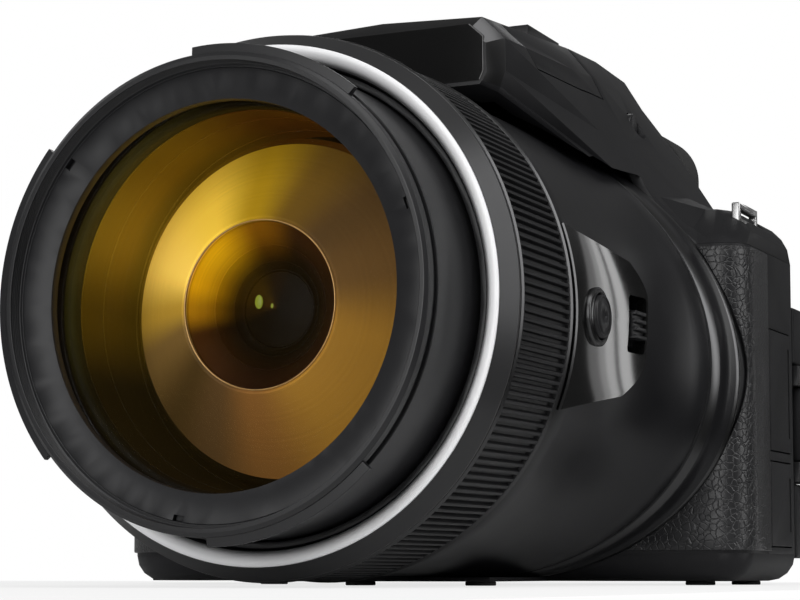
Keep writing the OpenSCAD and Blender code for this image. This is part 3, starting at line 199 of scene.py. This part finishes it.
tree.links.new(warp.outputs["Color"], vector_b)
tree.links.new(vector_result, pebbles.inputs["Vector"])
tree.links.new(pebbles.outputs["Distance"], crease.inputs["Value"])
tree.links.new(crease.outputs["Result"], pebble_bump.inputs["Height"])
tree.links.new(pebble_bump.outputs["Normal"], tree.nodes["Principled BSDF"].inputs["Normal"])
dress("side_leather", leather, 0.00025, 50)
dress("grip_rubber", leather, 0.00025, 50)

# Fixed and middle barrels: aluminium tubes of the lens unit, turned and anodised black. The fixed one sits in
# the front cover's ring, and the middle one slides out of it to zoom.
anodised = finish("anodised", (0.018, 0.018, 0.019), 0.34, 0.0004, 0.000006)
dress("fixed_barrel", anodised, 0.0002)
dress("middle_barrel", anodised, 0.0002)

# Front barrel: turned aluminium tube, anodised satin black, with the filter thread inside its rim, a groove
# behind the rim and three bayonet lugs for a hood.
mm = 0.001
lens_axis = Vector((0, 0, 0.0482))


def turn(profile, steps=256, sweep=360, start=0):
    """Spin a closed profile of radius and distance ahead, in mm, about the lens axis.

    A third number in a point is kept on its vertices as the share of a flare that they take."""
    shape = bmesh.new()
    share = shape.verts.layers.float.new("share")
    points = [shape.verts.new((point[0] * mm, -point[1] * mm, lens_axis.z)) for point in profile]
    for vertex, point in zip(points, profile):
        vertex[share] = point[2] if len(point) > 2 else 0.0
    face = shape.faces.new(points)
    if start:
        to_start = Matrix.Rotation(-math.radians(start), 3, "Y")
        bmesh.ops.rotate(shape, cent=lens_axis, matrix=to_start, verts=points)
    whole = sweep == 360
    geometry = shape.verts[:] + shape.edges[:] + ([] if whole else [face])
    if whole:
        bmesh.ops.delete(shape, geom=[face], context="FACES_ONLY")
    bmesh.ops.spin(shape, geom=geometry, cent=lens_axis, axis=(0, -1, 0), angle=math.radians(sweep),
                   steps=steps, use_merge=whole)
    bmesh.ops.remove_doubles(shape, verts=shape.verts, dist=1e-7)
    bmesh.ops.recalc_face_normals(shape, faces=shape.faces)
    return shape


def join(shapes):
    """Put several bmeshes into the first one."""
    whole = shapes[0]
    for shape in shapes[1:]:
        extra = bpy.data.meshes.new("extra")
        shape.to_mesh(extra)
        shape.free()
        whole.from_mesh(extra)
        bpy.data.meshes.remove(extra)
    return whole


thread = [point for i in range(5) for point in ((38.5, 122.5 - 0.48 * i), (38.85, 122.26 - 0.48 * i))]
barrel = turn([(39, 30), (40.2, 30), (40.2, 119.2), (39.4, 119.2), (39.4, 120.6), (40, 120.6), (40, 122.3),
               (39.3, 122.8), (38.5, 122.8)] + thread + [
               (38.5, 120), (37.9, 120), (37.9, 117.05), (37.4, 117.05), (37.4, 113.2), (34.5, 113.2),
               (34.5, 111.2), (39, 107.2)])
lugs = [turn([(39.4, 120.6), (41.55, 120.6), (41.55, 121.7), (39.4, 122.1)], 48, sweep, start)
        for start, sweep in ((140, 80), (50, 45), (270, 45))]
satin_black = finish("satin_black", (0.012, 0.012, 0.013), 0.36, 0.0003, 0.000004, 0.05, specular=0.35)
place_piece("front_barrel_turned", join([barrel] + lugs), satin_black, "front_barrel", 0.00012)

# Name ring: thin turned ring, anodised black, screwed into the front barrel to hold the front element.
# It has three notches for a pin spanner, and its face is bare.
ring_black = finish("ring_black", (0.012, 0.012, 0.013), 0.42, 0.0003, 0.000002, 0.01)
dress("name_ring", ring_black, 0.00012)

# Front element: a large coated glass, bonded into the front barrel behind the name ring.
# The coating lets nearly all light through and leaves a faint amber bloom.
glass = finish("coated_glass", (0.5, 0.3, 0.06), 0.03, 0.002, 0.0, 0.05)
glass.node_tree.nodes["Principled BSDF"].inputs["Alpha"].default_value = 0.006
sphere_r, apex, seat, glass_r, rings = 165.0, 120.0, 113.3, 37.3, 24
radii = [glass_r * k / rings for k in range(1, rings + 1)]
bulge = [(radius, apex - sphere_r + math.sqrt(sphere_r ** 2 - radius ** 2)) for radius in radii]
lens_profile = [(0.01, seat), (0.01, apex)] + bulge + [(glass_r, seat)]
place_piece("front_element", turn(lens_profile, 128), glass, "front_lens")

# Light baffle: blackened tube behind the front element, with fine steps that catch stray light and a mouth
# close behind the glass. Its colour is a painted reflection of the gold cone, painted light by angle with a
# painted glow: olive near the glass, brown-gold deeper in.


def round_painted_light(name, stops, roughness, streak=0.25, fade=(0, 0.001)):
    """Material with painted light and shade round the lens axis: stops of angle in degrees and colour, with
    fine turned lines.

    The colour fades to near black between the two radii of fade, going in, and the same colour is a painted
    glow."""
    material = bpy.data.materials.new(name)
    material.use_nodes = True
    tree = material.node_tree
    link = tree.links.new
    shader = tree.nodes["Principled BSDF"]
    place = tree.nodes.new("ShaderNodeTexCoord")
    centred = tree.nodes.new("ShaderNodeMapping")
    centred.inputs["Location"].default_value = -lens_axis
    link(place.outputs["Object"], centred.inputs["Vector"])

    split = tree.nodes.new("ShaderNodeSeparateXYZ")
    angle = tree.nodes.new("ShaderNodeMath")
    angle.operation = "ARCTAN2"
    turned = tree.nodes.new("ShaderNodeMapRange")
    turned.inputs["From Min"].default_value = -math.pi
    turned.inputs["From Max"].default_value = math.pi
    # Painted light and shade: the colour changes with the angle round the lens axis.
    painted_light_ramp = tree.nodes.new("ShaderNodeValToRGB")
    painted_light_ramp.color_ramp.interpolation = "EASE"
    ramp = painted_light_ramp.color_ramp.elements
    for k, (degrees, colour) in enumerate(stops):
        spot = ramp[k] if k < 2 else ramp.new(1.0)
        spot.position = (degrees + 180) / 360
        spot.color = (*colour, 1)
    link(centred.outputs["Vector"], split.inputs["Vector"])
    link(split.outputs["Z"], angle.inputs[0])
    link(split.outputs["X"], angle.inputs[1])
    link(angle.outputs["Value"], turned.inputs["Value"])
    link(turned.outputs["Result"], painted_light_ramp.inputs["Fac"])

    radius = tree.nodes.new("ShaderNodeVectorMath")
    radius.operation = "LENGTH"
    lathe = tree.nodes.new("ShaderNodeTexNoise")
    lathe.noise_dimensions = "1D"
    lathe.inputs["Scale"].default_value = 5200
    lathe.inputs["Detail"].default_value = 2
    lines = tree.nodes.new("ShaderNodeMapRange")
    lines.inputs["From Min"].default_value = 0.25
    lines.inputs["From Max"].default_value = 0.75
    lines.inputs["To Min"].default_value = 1 - streak
    lines.inputs["To Max"].default_value = 1 + streak
    link(centred.outputs["Vector"], radius.inputs[0])
    link(radius.outputs["Value"], lathe.inputs["W"])
    link(lathe.outputs["Fac"], lines.inputs["Value"])

    across = tree.nodes.new("ShaderNodeVectorMath")
    across.operation = "MULTIPLY"
    across.inputs[1].default_value = (1, 0, 1)
    spread = tree.nodes.new("ShaderNodeVectorMath")
    spread.operation = "LENGTH"
    depth = tree.nodes.new("ShaderNodeMapRange")
    depth.interpolation_type = "SMOOTHSTEP"
    depth.inputs["From Min"].default_value = fade[0]
    depth.inputs["From Max"].default_value = fade[1]
    depth.inputs["To Min"].default_value = 0.03
    link(centred.outputs["Vector"], across.inputs[0])
    link(across.outputs["Vector"], spread.inputs[0])
    link(spread.outputs["Value"], depth.inputs["Value"])

    strength = tree.nodes.new("ShaderNodeMath")
    strength.operation = "MULTIPLY"
    shade = tree.nodes.new("ShaderNodeVectorMath")
    shade.operation = "SCALE"
    link(depth.outputs["Result"], strength.inputs[0])
    link(lines.outputs["Result"], strength.inputs[1])
    link(painted_light_ramp.outputs["Color"], shade.inputs[0])
    link(strength.outputs["Value"], shade.inputs["Scale"])
    link(shade.outputs["Vector"], shader.inputs["Base Color"])
    # Painted glow: the painted colour also glows, though the part is no lamp.
    link(shade.outputs["Vector"], shader.inputs["Emission Color"])
    shader.inputs["Emission Strength"].default_value = 0.35
    shader.inputs["Specular IOR Level"].default_value = 0.04
    shader.inputs["Roughness"].default_value = roughness
    return material


# Painted reflection of the gold cone: light and shade painted by angle, with a painted glow.
olive = round_painted_light("baffle_olive_painted_light", [(-180, (0.02, 0.018, 0.004)), (-150, (0.004, 0.004, 0.002)),
                                     (-110, (0.002, 0.002, 0.002)), (0, (0.008, 0.006, 0.002)),
                                     (90, (0.004, 0.003, 0.001)), (140, (0.045, 0.036, 0.008)),
                                     (165, (0.04, 0.032, 0.007)), (180, (0.02, 0.018, 0.004))], 0.5)
brown = round_painted_light("baffle_brown_painted_light", [(-180, (0.07, 0.04, 0.002)), (-155, (0.006, 0.004, 0.001)),
                                     (-90, (0.003, 0.002, 0.001)), (0, (0.04, 0.018, 0.003)),
                                     (90, (0.05, 0.016, 0.001)), (125, (0.13, 0.07, 0.003)),
                                     (155, (0.22, 0.13, 0.008)), (180, (0.07, 0.04, 0.002))], 0.45, 0.15)
tube = turn([(32.4, 86), (32.4, 92), (32.6, 92.1), (32.6, 97), (32.45, 97.1), (32.45, 103), (32.6, 103.1),
             (32.6, 109.8), (33.6, 109.8), (33.6, 105.7), (38.95, 105.7), (38.95, 104.5), (33.6, 104.5),
             (33.6, 86)], 192)
place_piece("baffle_tube", tube, brown, "light_baffle", 0.00008)
mouth = turn([(32.7, 110), (32.9, 112.8), (34.3, 112.8), (34.3, 110)], 192)
mouth_ring = add_piece("baffle_mouth", mouth, olive)
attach(mouth_ring, "front_stage")

# Variator cell: gold-anodised turned cone round the second lens group, which slides on two guide rods.
# Its gold is painted light by angle, with a painted glow: a painted highlight high on the grip side that falls
# off to painted shade, dark brown, below.
# Painted highlight high on the grip side and painted shade below, with a painted glow.
gold = round_painted_light("gold_with_painted_light", [(-180, (0.36, 0.21, 0.025)), (-165, (0.14, 0.08, 0.022)),
                                     (-140, (0.05, 0.028, 0.008)), (-120, (0.075, 0.04, 0.014)),
                                     (-95, (0.17, 0.075, 0.018)), (-60, (0.27, 0.135, 0.02)),
                                     (-20, (0.24, 0.12, 0.018)), (15, (0.1, 0.052, 0.016)),
                                     (45, (0.07, 0.038, 0.013)), (70, (0.12, 0.065, 0.01)),
                                     (95, (0.34, 0.2, 0.008)), (125, (0.78, 0.5, 0.05)),
                                     (158, (0.85, 0.55, 0.09)), (180, (0.36, 0.21, 0.025))], 0.4, 0.05)
cone = turn([(30.7, 94), (30.7, 88.2), (16, 97), (16, 60), (13.6, 60), (13.6, 97), (14.6, 104.6),
             (15.3, 104.8), (29.3, 95.5), (29.5, 95.1)], 192)
cell = place_piece("variator_cone", cone, gold, "variator_cell", 0.0001)
cell.data.materials.append(brown)
# The lip takes the brown painted light of the baffle.
lip_r, lip_back, lip_front = 0.0294, 0.088, 0.0954
for face in cell.data.polygons:
    reach = math.hypot(face.center.x, face.center.z - lens_axis.z)
    if lip_back < -face.center.y < lip_front and reach > lip_r:
        face.material_index = 1

# Variator lens: stepped amber seats round the small second group, with a thin gold rim at the cone's mouth.
# The amber is painted light with a painted glow: a painted highlight high on the grip side, near black towards
# the axis.
# The glints are painted reflections of lamps, made as small flat glowing beads at the glass.
# Painted highlight high on the grip side, near black towards the axis, with a painted glow.
amber = round_painted_light("amber_painted_light", [(-180, (0.3, 0.13, 0.002)), (-160, (0.03, 0.009, 0.001)),
                                   (-90, (0.008, 0.002, 0.001)), (0, (0.01, 0.003, 0.001)),
                                   (60, (0.02, 0.006, 0.001)), (95, (0.16, 0.06, 0.001)),
                                   (135, (0.66, 0.33, 0.003)), (160, (0.6, 0.28, 0.002)),
                                   (180, (0.3, 0.13, 0.002))], 0.5, 0.1, (0.0075, 0.0145))
dish = turn([(14.5, 104.4), (14.4, 104), (10.9, 100.9), (10.75, 101), (10.6, 100.7), (8.4, 98.6), (8.25, 98.7),
             (8.1, 98.4), (7, 97.6), (6.8, 97.7), (6.6, 97.4), (4.5, 97.9), (2, 98.3), (0.01, 98.4), (0.01, 72),
             (13.5, 72), (13.5, 97)], 128)
place_piece("variator_rings", dish, amber, "variator_lens", 0.00004)
rim_gold = finish("rim_gold", (0.55, 0.33, 0.13), 0.3, 0.0004, 0.000002, 0.05, metallic=0.7)
rim = turn([(14.55, 104.6), (14.75, 104.6), (14.75, 104.95), (14.55, 104.95)], 128)
place_piece("variator_rim", rim, rim_gold, "variator_lens")
# Painted reflections of lamps: small beads that glow, though they are no lamp.
bloom = finish("painted_glint", (0.16, 0.19, 0.015), 0.4, 0.001, 0.0, 0.05)
bloom.node_tree.nodes["Principled BSDF"].inputs["Emission Color"].default_value = (0.2, 0.24, 0.02, 1)
bloom.node_tree.nodes["Principled BSDF"].inputs["Emission Strength"].default_value = 0.3
glass_front = 0.0982
glints = []
for x, z, size in ((-3.6, 1.4, 1.0), (-0.9, 0.5, 0.6), (0.2, 0.2, 0.45)):
    glint = bmesh.new()
    bmesh.ops.create_uvsphere(glint, u_segments=24, v_segments=12, radius=size * mm)
    bmesh.ops.scale(glint, vec=(0.8, 0.3, 1.25), verts=glint.verts)
    bmesh.ops.translate(glint, vec=(x * mm, -glass_front, lens_axis.z + z * mm), verts=glint.verts)
    glints.append(glint)
place_piece("painted_glints", join(glints), bloom, "variator_lens")

# Bright ring: thin aluminium ring, turned and polished, pressed into the front of the fixed barrel.
# Its inner edge is chamfered back over the barrel's mouth.
silver = finish("silver", (0.9, 0.9, 0.91), 0.35, 0.0004, 0.000002, 0.02, specular=0.5)
bright = turn([(43.65, 104.9), (44.8, 104.9), (44.8, 105.75), (44.6, 105.95), (43.6, 105.95), (42.15, 104.35),
               (42.2, 104.3), (43.65, 105.85)])
place_piece("bright_ring", bright, silver, "chrome_ring")

# Trim ring: aluminium ring turned to a cone and anodised satin dark grey.
# It is fixed on the barrel between the bright ring and the control ring.
trim_grey = finish("trim_grey", (0.035, 0.035, 0.036), 0.32, 0.00025, 0.000004, 0.05, metallic=0.4)
trim = turn([(44.25, 102), (47.2, 102), (47.2, 102.5), (44.85, 105.5), (44.85, 104.85), (44.25, 104.85)])
place_piece("trim_cone", trim, trim_grey, "trim_ring", 0.0001)

# Control ring: turning ring moulded in black plastic, with fine straight ribs between two plain lips.
# It runs on the fixed barrel, and each lip is dressed with a thin bright-edged metal hoop.
rib_black = finish("rib_black", (0.01, 0.01, 0.011), 0.45, 0.0004, 0.000008)
graphite = finish("graphite", (0.07, 0.07, 0.071), 0.3, 0.0003, 0.000004, 0.05, metallic=1.0)
dress("control_ring", rib_black, 0.00008, 40)
hoops = [turn([(47, back), (47.5, back), (47.5, back + 0.12), (47.15, back + 0.55), (47, back + 0.55)], 192)
         for back in (78.65, 101.1)]
place_piece("ring_lips", join(hoops), graphite, "control_ring", 0.00008)

# Lens shroud and bezel: moulded covers round the fixed barrel, which flare out to the body on the hinge side.
# The bezel has a chamfer beside the shroud and a thin rim against the leather, which take the lighter graphite
# finish as a painted highlight.
shroud_black = finish("shroud_black", (0.007, 0.007, 0.008), 0.36, 0.0003, 0.00001, specular=0.3)
button_ahead, button_height, slider_ahead = 0.0656, 0.0479, 0.0466
flare_down = 0.0465
cutter_x, cutter_long = 0.047, 0.012


def swell(degrees):
    """How far the flare stands out at an angle about the lens axis, in mm: most low on the hinge side."""
    hinge_side = (degrees + 15 + 180) % 360 - 180
    grip_side = (degrees - 190 + 180) % 360 - 180
    return 13 * math.exp(-(hinge_side / 46) ** 2) + 1.5 * math.exp(-(grip_side / 46) ** 2)


def flare(shape):
    """Push each vertex out from the lens axis by its share of the swell, but not under the base."""
    share = shape.verts.layers.float["share"]
    for vertex in shape.verts:
        out = Vector((vertex.co.x, 0, vertex.co.z - lens_axis.z))
        degrees = math.degrees(math.atan2(out.z, out.x))
        reach = out.length + vertex[share] * swell(degrees) * mm
        if out.z < 0:
            reach = min(reach, flare_down * out.length / -out.z)
        out *= reach / out.length
        vertex.co = (out.x, vertex.co.y, out.z + lens_axis.z)
    return shape


def cut_out(piece, shape):
    """Cut a shape out of a finished piece for good."""
    mesh = bpy.data.meshes.new("cutter")
    shape.to_mesh(mesh)
    shape.free()
    cutter = bpy.data.objects.new("cutter", mesh)
    bpy.context.scene.collection.objects.link(cutter)
    hole = piece.modifiers.new("hole", "BOOLEAN")
    hole.object = cutter
    hole.solver = "EXACT"
    piece.modifiers.move(len(piece.modifiers) - 1, 0)
    edges = [m for m in piece.modifiers if m != hole]
    for modifier in edges:
        modifier.show_viewport = False
    whole = bpy.data.meshes.new_from_object(piece.evaluated_get(bpy.context.evaluated_depsgraph_get()))
    for modifier in edges:
        modifier.show_viewport = True
    piece.modifiers.remove(hole)
    piece.data = whole
    bpy.data.objects.remove(cutter)
    bpy.data.meshes.remove(mesh)


def side_pin(ahead, height, radius):
    """Round bar through the side of the shroud."""
    shape = bmesh.new()
    bmesh.ops.create_cone(shape, segments=64, radius1=radius, radius2=radius, depth=cutter_long, cap_ends=True)
    bmesh.ops.rotate(shape, matrix=Matrix.Rotation(math.pi / 2, 3, "Y"), verts=shape.verts)
    bmesh.ops.translate(shape, vec=(cutter_x, -ahead, height), verts=shape.verts)
    return shape


def side_block(ahead, half_long, half_high, radius):
    """Block with rounded corners through the side of the shroud."""
    shape = bmesh.new()
    bmesh.ops.create_cube(shape, size=1)
    bmesh.ops.scale(shape, vec=(cutter_long, 2 * half_long, 2 * half_high), verts=shape.verts)
    along = [e for e in shape.edges if abs((e.verts[0].co - e.verts[1].co).x) > 0.001]
    bmesh.ops.bevel(shape, geom=along, offset=radius, affect="EDGES", segments=6, profile=0.5, material=-1)
    bmesh.ops.translate(shape, vec=(cutter_x, -ahead, lens_axis.z), verts=shape.verts)
    return shape


rise = [(46.3, ahead, 0.62 * ((60 - ahead) / 32) ** 3)
        for ahead in (57, 54, 51, 48, 45, 42, 40, 38, 36, 34, 32, 30, 29, 28)]
shell = turn([(44.25, 78.3), (45.9, 78.3), (46.3, 77.9), (46.3, 70), (46.3, 60)] + rise + [
    (46.3, 27, 0.662), (46.3, 26, 0.697), (46.3, 25.2, 0.717), (46.3, 24.6, 0.727), (46.3, 24.3, 0.7),
    (44.25, 24.3)], 240)
shroud = place_piece("shroud_shell", flare(shell), shroud_black, "lens_shroud", 0.0001, 50)
cut_out(shroud, side_pin(button_ahead, button_height, 0.0046))
cut_out(shroud, side_block(slider_ahead, 0.0045, 0.0064, 0.0006))
seat_ring = turn([
    (45.3, 23.9), (46.3, 23.9, 0.72), (46.3, 23.7, 0.745), (46.3, 22.1, 0.835), (46.3, 21.8, 0.848),
    (46.3, 20.6, 0.868), (46.3, 19.3, 0.895), (46.3, 18.6, 0.935), (46.3, 18, 0.995), (46.3, 17.5, 1.03),
    (46.3, 17.1, 1.045), (46.3, 16.7, 1.035), (46.3, 16.2, 1), (46.3, 12.9, 0.93), (45.3, 12.9)], 240)
bezel = place_piece("bezel_ring", flare(seat_ring), shroud_black, "front_bezel")
bezel.data.materials.append(graphite)
# Painted highlight: these bands of the black moulding take the lighter graphite finish.
bright_edges = ((0.0221, 0.0237), (0.0171, 0.018))
for face in bezel.data.polygons:
    if any(back < -face.center.y < front for back, front in bright_edges):
        face.material_index = 1

# Zoom panel: polished black insert on the side of the shroud, glued in, with a round button and a ribbed
# slider. It rises to the rear with the flare, tapers to a rounded far end and stands proud along its top.
piano_black = finish("piano_black", (0.005, 0.005, 0.005), 0.05, 0.004, 0.0, 0.02, specular=0.6)
key_black = finish("key_black", (0.014, 0.014, 0.015), 0.35, 0.0004, 0.00001)
panel_front, panel_back, panel_run_start = 75.5, 43.4, 75
panel_r, panel_wall = 46.9, 0.0018
insert = bmesh.new()
bmesh.ops.create_grid(insert, x_segments=72, y_segments=48, size=1)
for vertex in insert.verts:
    back = panel_back + 7 * max(0, (abs(vertex.co.y) - 0.5) / 0.5) ** 2.2
    ahead = back + (panel_front - back) * (vertex.co.x + 1) / 2
    degrees = vertex.co.y * (20.6 - 0.23 * (panel_front - ahead)) - 1.3
    if degrees > 0:
        lift = 0.00115 * degrees + 0.00014 * degrees ** 2
    else:
        lift = -0.012 * (1 - math.exp(degrees / 7))
    run = panel_run_start - ahead
    reach = (panel_r + (0.02 + lift) * run + 0.0015 * run ** 2) * mm
    angle = math.radians(degrees)
    vertex.co = (reach * math.cos(angle), -ahead * mm, lens_axis.z + reach * math.sin(angle))
bmesh.ops.reverse_faces(insert, faces=insert.faces)
bmesh.ops.solidify(insert, geom=insert.faces[:], thickness=panel_wall)
bmesh.ops.recalc_face_normals(insert, faces=insert.faces)
panel = place_piece("panel_insert", insert, piano_black, "zoom_panel", 0.0003, 50)
cut_out(panel, side_pin(button_ahead, button_height, 0.0046))
cut_out(panel, side_block(0.0479, 0.0038, 0.0053, 0.0009))


def turned_button(profile, steps=64):
    """Spin a closed profile of radius and reach from the lens axis, in mm, about the button's axis."""
    shape = bmesh.new()
    centre = Vector((0, -button_ahead, button_height))
    points = [shape.verts.new((reach * mm, -button_ahead, button_height + r * mm)) for r, reach in profile]
    for k in range(len(points)):
        shape.edges.new((points[k - 1], points[k]))
    bmesh.ops.spin(shape, geom=shape.verts[:] + shape.edges[:], cent=centre, axis=(1, 0, 0),
                   angle=2 * math.pi, steps=steps, use_merge=True)
    bmesh.ops.remove_doubles(shape, verts=shape.verts, dist=1e-7)
    bmesh.ops.recalc_face_normals(shape, faces=shape.faces)
    return shape


cap = turned_button([(0.01, 45.3), (3.9, 45.3), (3.9, 48.3), (3.7, 48.5), (3.5, 48.5), (3.35, 48.3),
                     (3.2, 48.3), (3, 48.5), (2, 48.55), (0.01, 48.6)])
place_piece("button_cap", cap, key_black, "snap_back_button")
collar = turned_button([(4.2, 46), (5.3, 46), (5.3, 47.5), (5.1, 47.7), (4.8, 47.7), (4.6, 47.5),
                        (4.5, 47.9), (4.3, 47.9)])
place_piece("button_collar", collar, graphite, "zoom_panel")
bead = turn([(46.5, 75.3), (46.95, 75.3), (47.25, 75.6), (46.95, 76), (46.5, 76)], 48, 41, -22)
place_piece("panel_edge", bead, graphite, "zoom_panel", 0.00005)
dress("side_zoom_slider", key_black, 0.00018, 40, shift=(0.0006, -0.0036, 0))

# Rear cover with its swing-out screen: moulded wall with the buttons and socket doors, screwed to the front
# cover, and a framed display on a hinge at the edge of the body.
screen_black = finish("screen_black", (0.004, 0.004, 0.006), 0.08, 0.004, 0.0, 0.2, coat=0.6)
for node, material, edge in (("rear_cover", cover_black, 0.0003), ("screen_panel", cover_black, 0.0006),
                             ("screen_glass", screen_black, 0.0002), ("screen_arm", cover_black, 0.0003),
                             ("screen_bracket", anodised, 0.0002), ("connector_door", cover_black, 0.0003),
                             ("power_door", cover_black, 0.0003)):
    dress(node, material, edge)

# Rear buttons and selector: moulded plastic caps in holes of the rear cover, which spring back when pressed.
# A knurled turning ring lies round the middle one.
for node in ("playback_button", "menu_button", "delete_button", "movie_button", "selector_dial", "ok_button"):
    dress(node, key_black, 0.0003, 40)

# Top cover: black plastic moulding with the shoulders and the viewfinder hump, screwed down over the front
# and rear covers. The facets round the hump's front take the lighter graphite finish as a painted highlight, a
# thin bright frame.
hump_black = finish("hump_black", (0.009, 0.009, 0.01), 0.42, 0.0003, 0.00002, specular=0.22)
top = dress("top_cover", hump_black, 0.0009, 16, 2.0)
top.data.materials.append(graphite)
# Painted highlight: the forward facets of the black moulding take the lighter graphite finish.
facet_back, facet_front, facet_foot = 0.0553, 0.0579, 0.094
for face in top.data.polygons:
    forward = facet_back < -face.center.y < facet_front and face.normal.y < -0.3
    if forward and face.center.z > facet_foot:
        face.material_index = 1

# Hump panel: polished black plastic plate, moulded flat and glued into the front of the hump.
# Its face is bare.
plate_back, plate_thick, plate_foot = 0.0568, 0.0013, 0.0945
outline = [(21.3, 0.35), (22.15, 2.2), (22.1, 8.9), (19.1, 11.6), (-19.1, 11.6), (-22.1, 8.9), (-22.15, 2.2),
           (-21.3, 0.35)]
plate = bmesh.new()
face = plate.faces.new([plate.verts.new((x * mm, -plate_back, plate_foot + z * mm)) for x, z in outline])
front = bmesh.ops.extrude_face_region(plate, geom=[face])
front_corners = [v for v in front["geom"] if isinstance(v, bmesh.types.BMVert)]
bmesh.ops.translate(plate, vec=(0, -plate_thick, 0), verts=front_corners)
bmesh.ops.recalc_face_normals(plate, faces=plate.faces)
place_piece("hump_plate", plate, piano_black, "hump_panel", 0.00025)

# Flash: moulded pop-up head that closes flush with the hump and turns on a pin at its rear.
# It has a clear ribbed window, and a sprung release button in the hump's flank.
flash_clear = finish("flash_clear", (0.7, 0.7, 0.68), 0.15, 0.0012, 0.00006, 0.05)
dress("flash_head", hump_black, 0.0004, 20, 2.0)
dress("flash_window", flash_clear, 0.0002)
dress("flash_button", key_black, 0.0003)

# Hot shoe and strap lugs: pressed steel, fixed to the covers. The shoe's blackened rails hold the foot of an
# accessory flash, and the plated lugs take the ends of a strap.
dress("hot_shoe", key_black, 0.0002)
dress("strap_lugs", motor_steel, 0.0003, shift=(-0.0013, 0, -0.001))

# Eyepiece: moulded housing screwed on behind the hump, with its lens and a knurled diopter dial at its side.
# A soft rubber cup is pressed over its rim.
dress("eyepiece_housing", cover_black, 0.0003)
dress("eyecup", foot_rubber, 0.0008)
dress("eyepiece_lens", screen_black, 0.0003)
dress("diopter_dial", key_black, 0.0002)

# Top controls: moulded mode and command dials with knurled rims, set in wells of the top cover.
# The zoom lever turns round the sprung shutter button, and the power button is a small sprung cap.
for node in ("mode_dial", "command_dial", "zoom_lever", "shutter_button", "power_button"):
    dress(node, key_black, 0.0002, 40)

# Studio: pale floor that fades to white, large soft lamps above, behind and beside the camera, and tall strips
# at the back that the polished panel mirrors. The floor stops beside the camera, out of the panel's mirror.
pale = bpy.data.materials.new("pale_floor")
pale.use_nodes = True
tree = pale.node_tree
shader = tree.nodes["Principled BSDF"]
shader.inputs["Base Color"].default_value = (0.85, 0.85, 0.85, 1)
shader.inputs["Roughness"].default_value = 0.9
shader.inputs["Specular IOR Level"].default_value = 0
ray = tree.nodes.new("ShaderNodeLightPath")
share = tree.nodes.new("ShaderNodeMath")
share.operation = "MULTIPLY"
share.inputs[1].default_value = 0.75
glow = tree.nodes.new("ShaderNodeEmission")
fade = tree.nodes.new("ShaderNodeMixShader")
tree.links.new(ray.outputs["Is Camera Ray"], share.inputs[0])
tree.links.new(share.outputs["Value"], fade.inputs["Fac"])
tree.links.new(shader.outputs["BSDF"], fade.inputs[1])
tree.links.new(glow.outputs["Emission"], fade.inputs[2])
tree.links.new(fade.outputs["Shader"], tree.nodes["Material Output"].inputs["Surface"])
sheet = bmesh.new()
bmesh.ops.create_grid(sheet, x_segments=1, y_segments=1, size=0.22)
bmesh.ops.translate(sheet, vec=(-0.125, -0.1, 0), verts=sheet.verts)
add_piece("floor", sheet, pale)

world = bpy.data.worlds.new("studio")
world.use_nodes = True
bpy.context.scene.world = world
tree = world.node_tree
background = tree.nodes["Background"]
background.inputs["Color"].default_value = (1, 1, 1, 1)
ray = tree.nodes.new("ShaderNodeLightPath")
direction = tree.nodes.new("ShaderNodeTexCoord")
split = tree.nodes.new("ShaderNodeSeparateXYZ")
zone = tree.nodes.new("ShaderNodeMapRange")
zone.inputs["From Min"].default_value = 0.2
zone.inputs["From Max"].default_value = 0.5
zone.inputs["To Max"].default_value = 0.15
shiny = tree.nodes.new("ShaderNodeMath")
shiny.operation = "MAXIMUM"
seen = tree.nodes.new("ShaderNodeMath")
seen.operation = "MULTIPLY"
white = tree.nodes.new("ShaderNodeMath")
white.operation = "MAXIMUM"
tone = tree.nodes.new("ShaderNodeMapRange")
tone.inputs["To Min"].default_value = 0.04
tree.links.new(direction.outputs["Generated"], split.inputs["Vector"])
tree.links.new(split.outputs["Z"], zone.inputs["Value"])
tree.links.new(ray.outputs["Is Glossy Ray"], shiny.inputs[0])
tree.links.new(ray.outputs["Is Transmission Ray"], shiny.inputs[1])
tree.links.new(shiny.outputs["Value"], seen.inputs[0])
tree.links.new(zone.outputs["Result"], seen.inputs[1])
tree.links.new(ray.outputs["Is Camera Ray"], white.inputs[0])
tree.links.new(seen.outputs["Value"], white.inputs[1])
tree.links.new(white.outputs["Value"], tone.inputs["Value"])
tree.links.new(tone.outputs["Result"], background.inputs["Strength"])

for name, place, target, width, height, watts in (
        ("key", (-0.05, -1.5, 0.35), (0, -0.1, 0.05), 1.0, 1.0, 15),
        ("side", (1.25, -0.12, 0.6), (0.03, -0.04, 0.06), 0.5, 1.5, 11),
        ("left", (-1.3, -0.3, 0.9), (0, -0.1, 0.05), 0.6, 0.6, 3),
        ("top", (0.3, -0.65, 1.2), (0.02, -0.06, 0.1), 0.8, 0.8, 6),
        ("back", (-0.6, 1.2, 0.9), (0, 0, 0.1), 0.8, 0.4, 2),
        ("strip_faint", (0.545, 1.0, 0.18), (0.545, 0, 0.18), 0.03, 0.85, 0.05),
        ("strip_soft", (0.57, 1.0, 0.18), (0.57, 0, 0.18), 0.02, 0.85, 0.07),
        ("strip_middle", (0.593, 1.0, 0.18), (0.593, 0, 0.18), 0.026, 0.85, 0.16),
        ("strip_bright", (0.634, 1.0, 0.18), (0.634, 0, 0.18), 0.034, 0.85, 0.25)):
    lamp = bpy.data.lights.new(name, "AREA")
    lamp.shape = "RECTANGLE"
    lamp.size = width
    lamp.size_y = height
    lamp.energy = watts
    holder = bpy.data.objects.new(name, lamp)
    holder.location = place
    holder.rotation_euler = (Vector(target) - Vector(place)).to_track_quat("-Z", "Y").to_euler()
    bpy.context.scene.collection.objects.link(holder)

bpy.context.scene.view_settings.view_transform = "Standard"
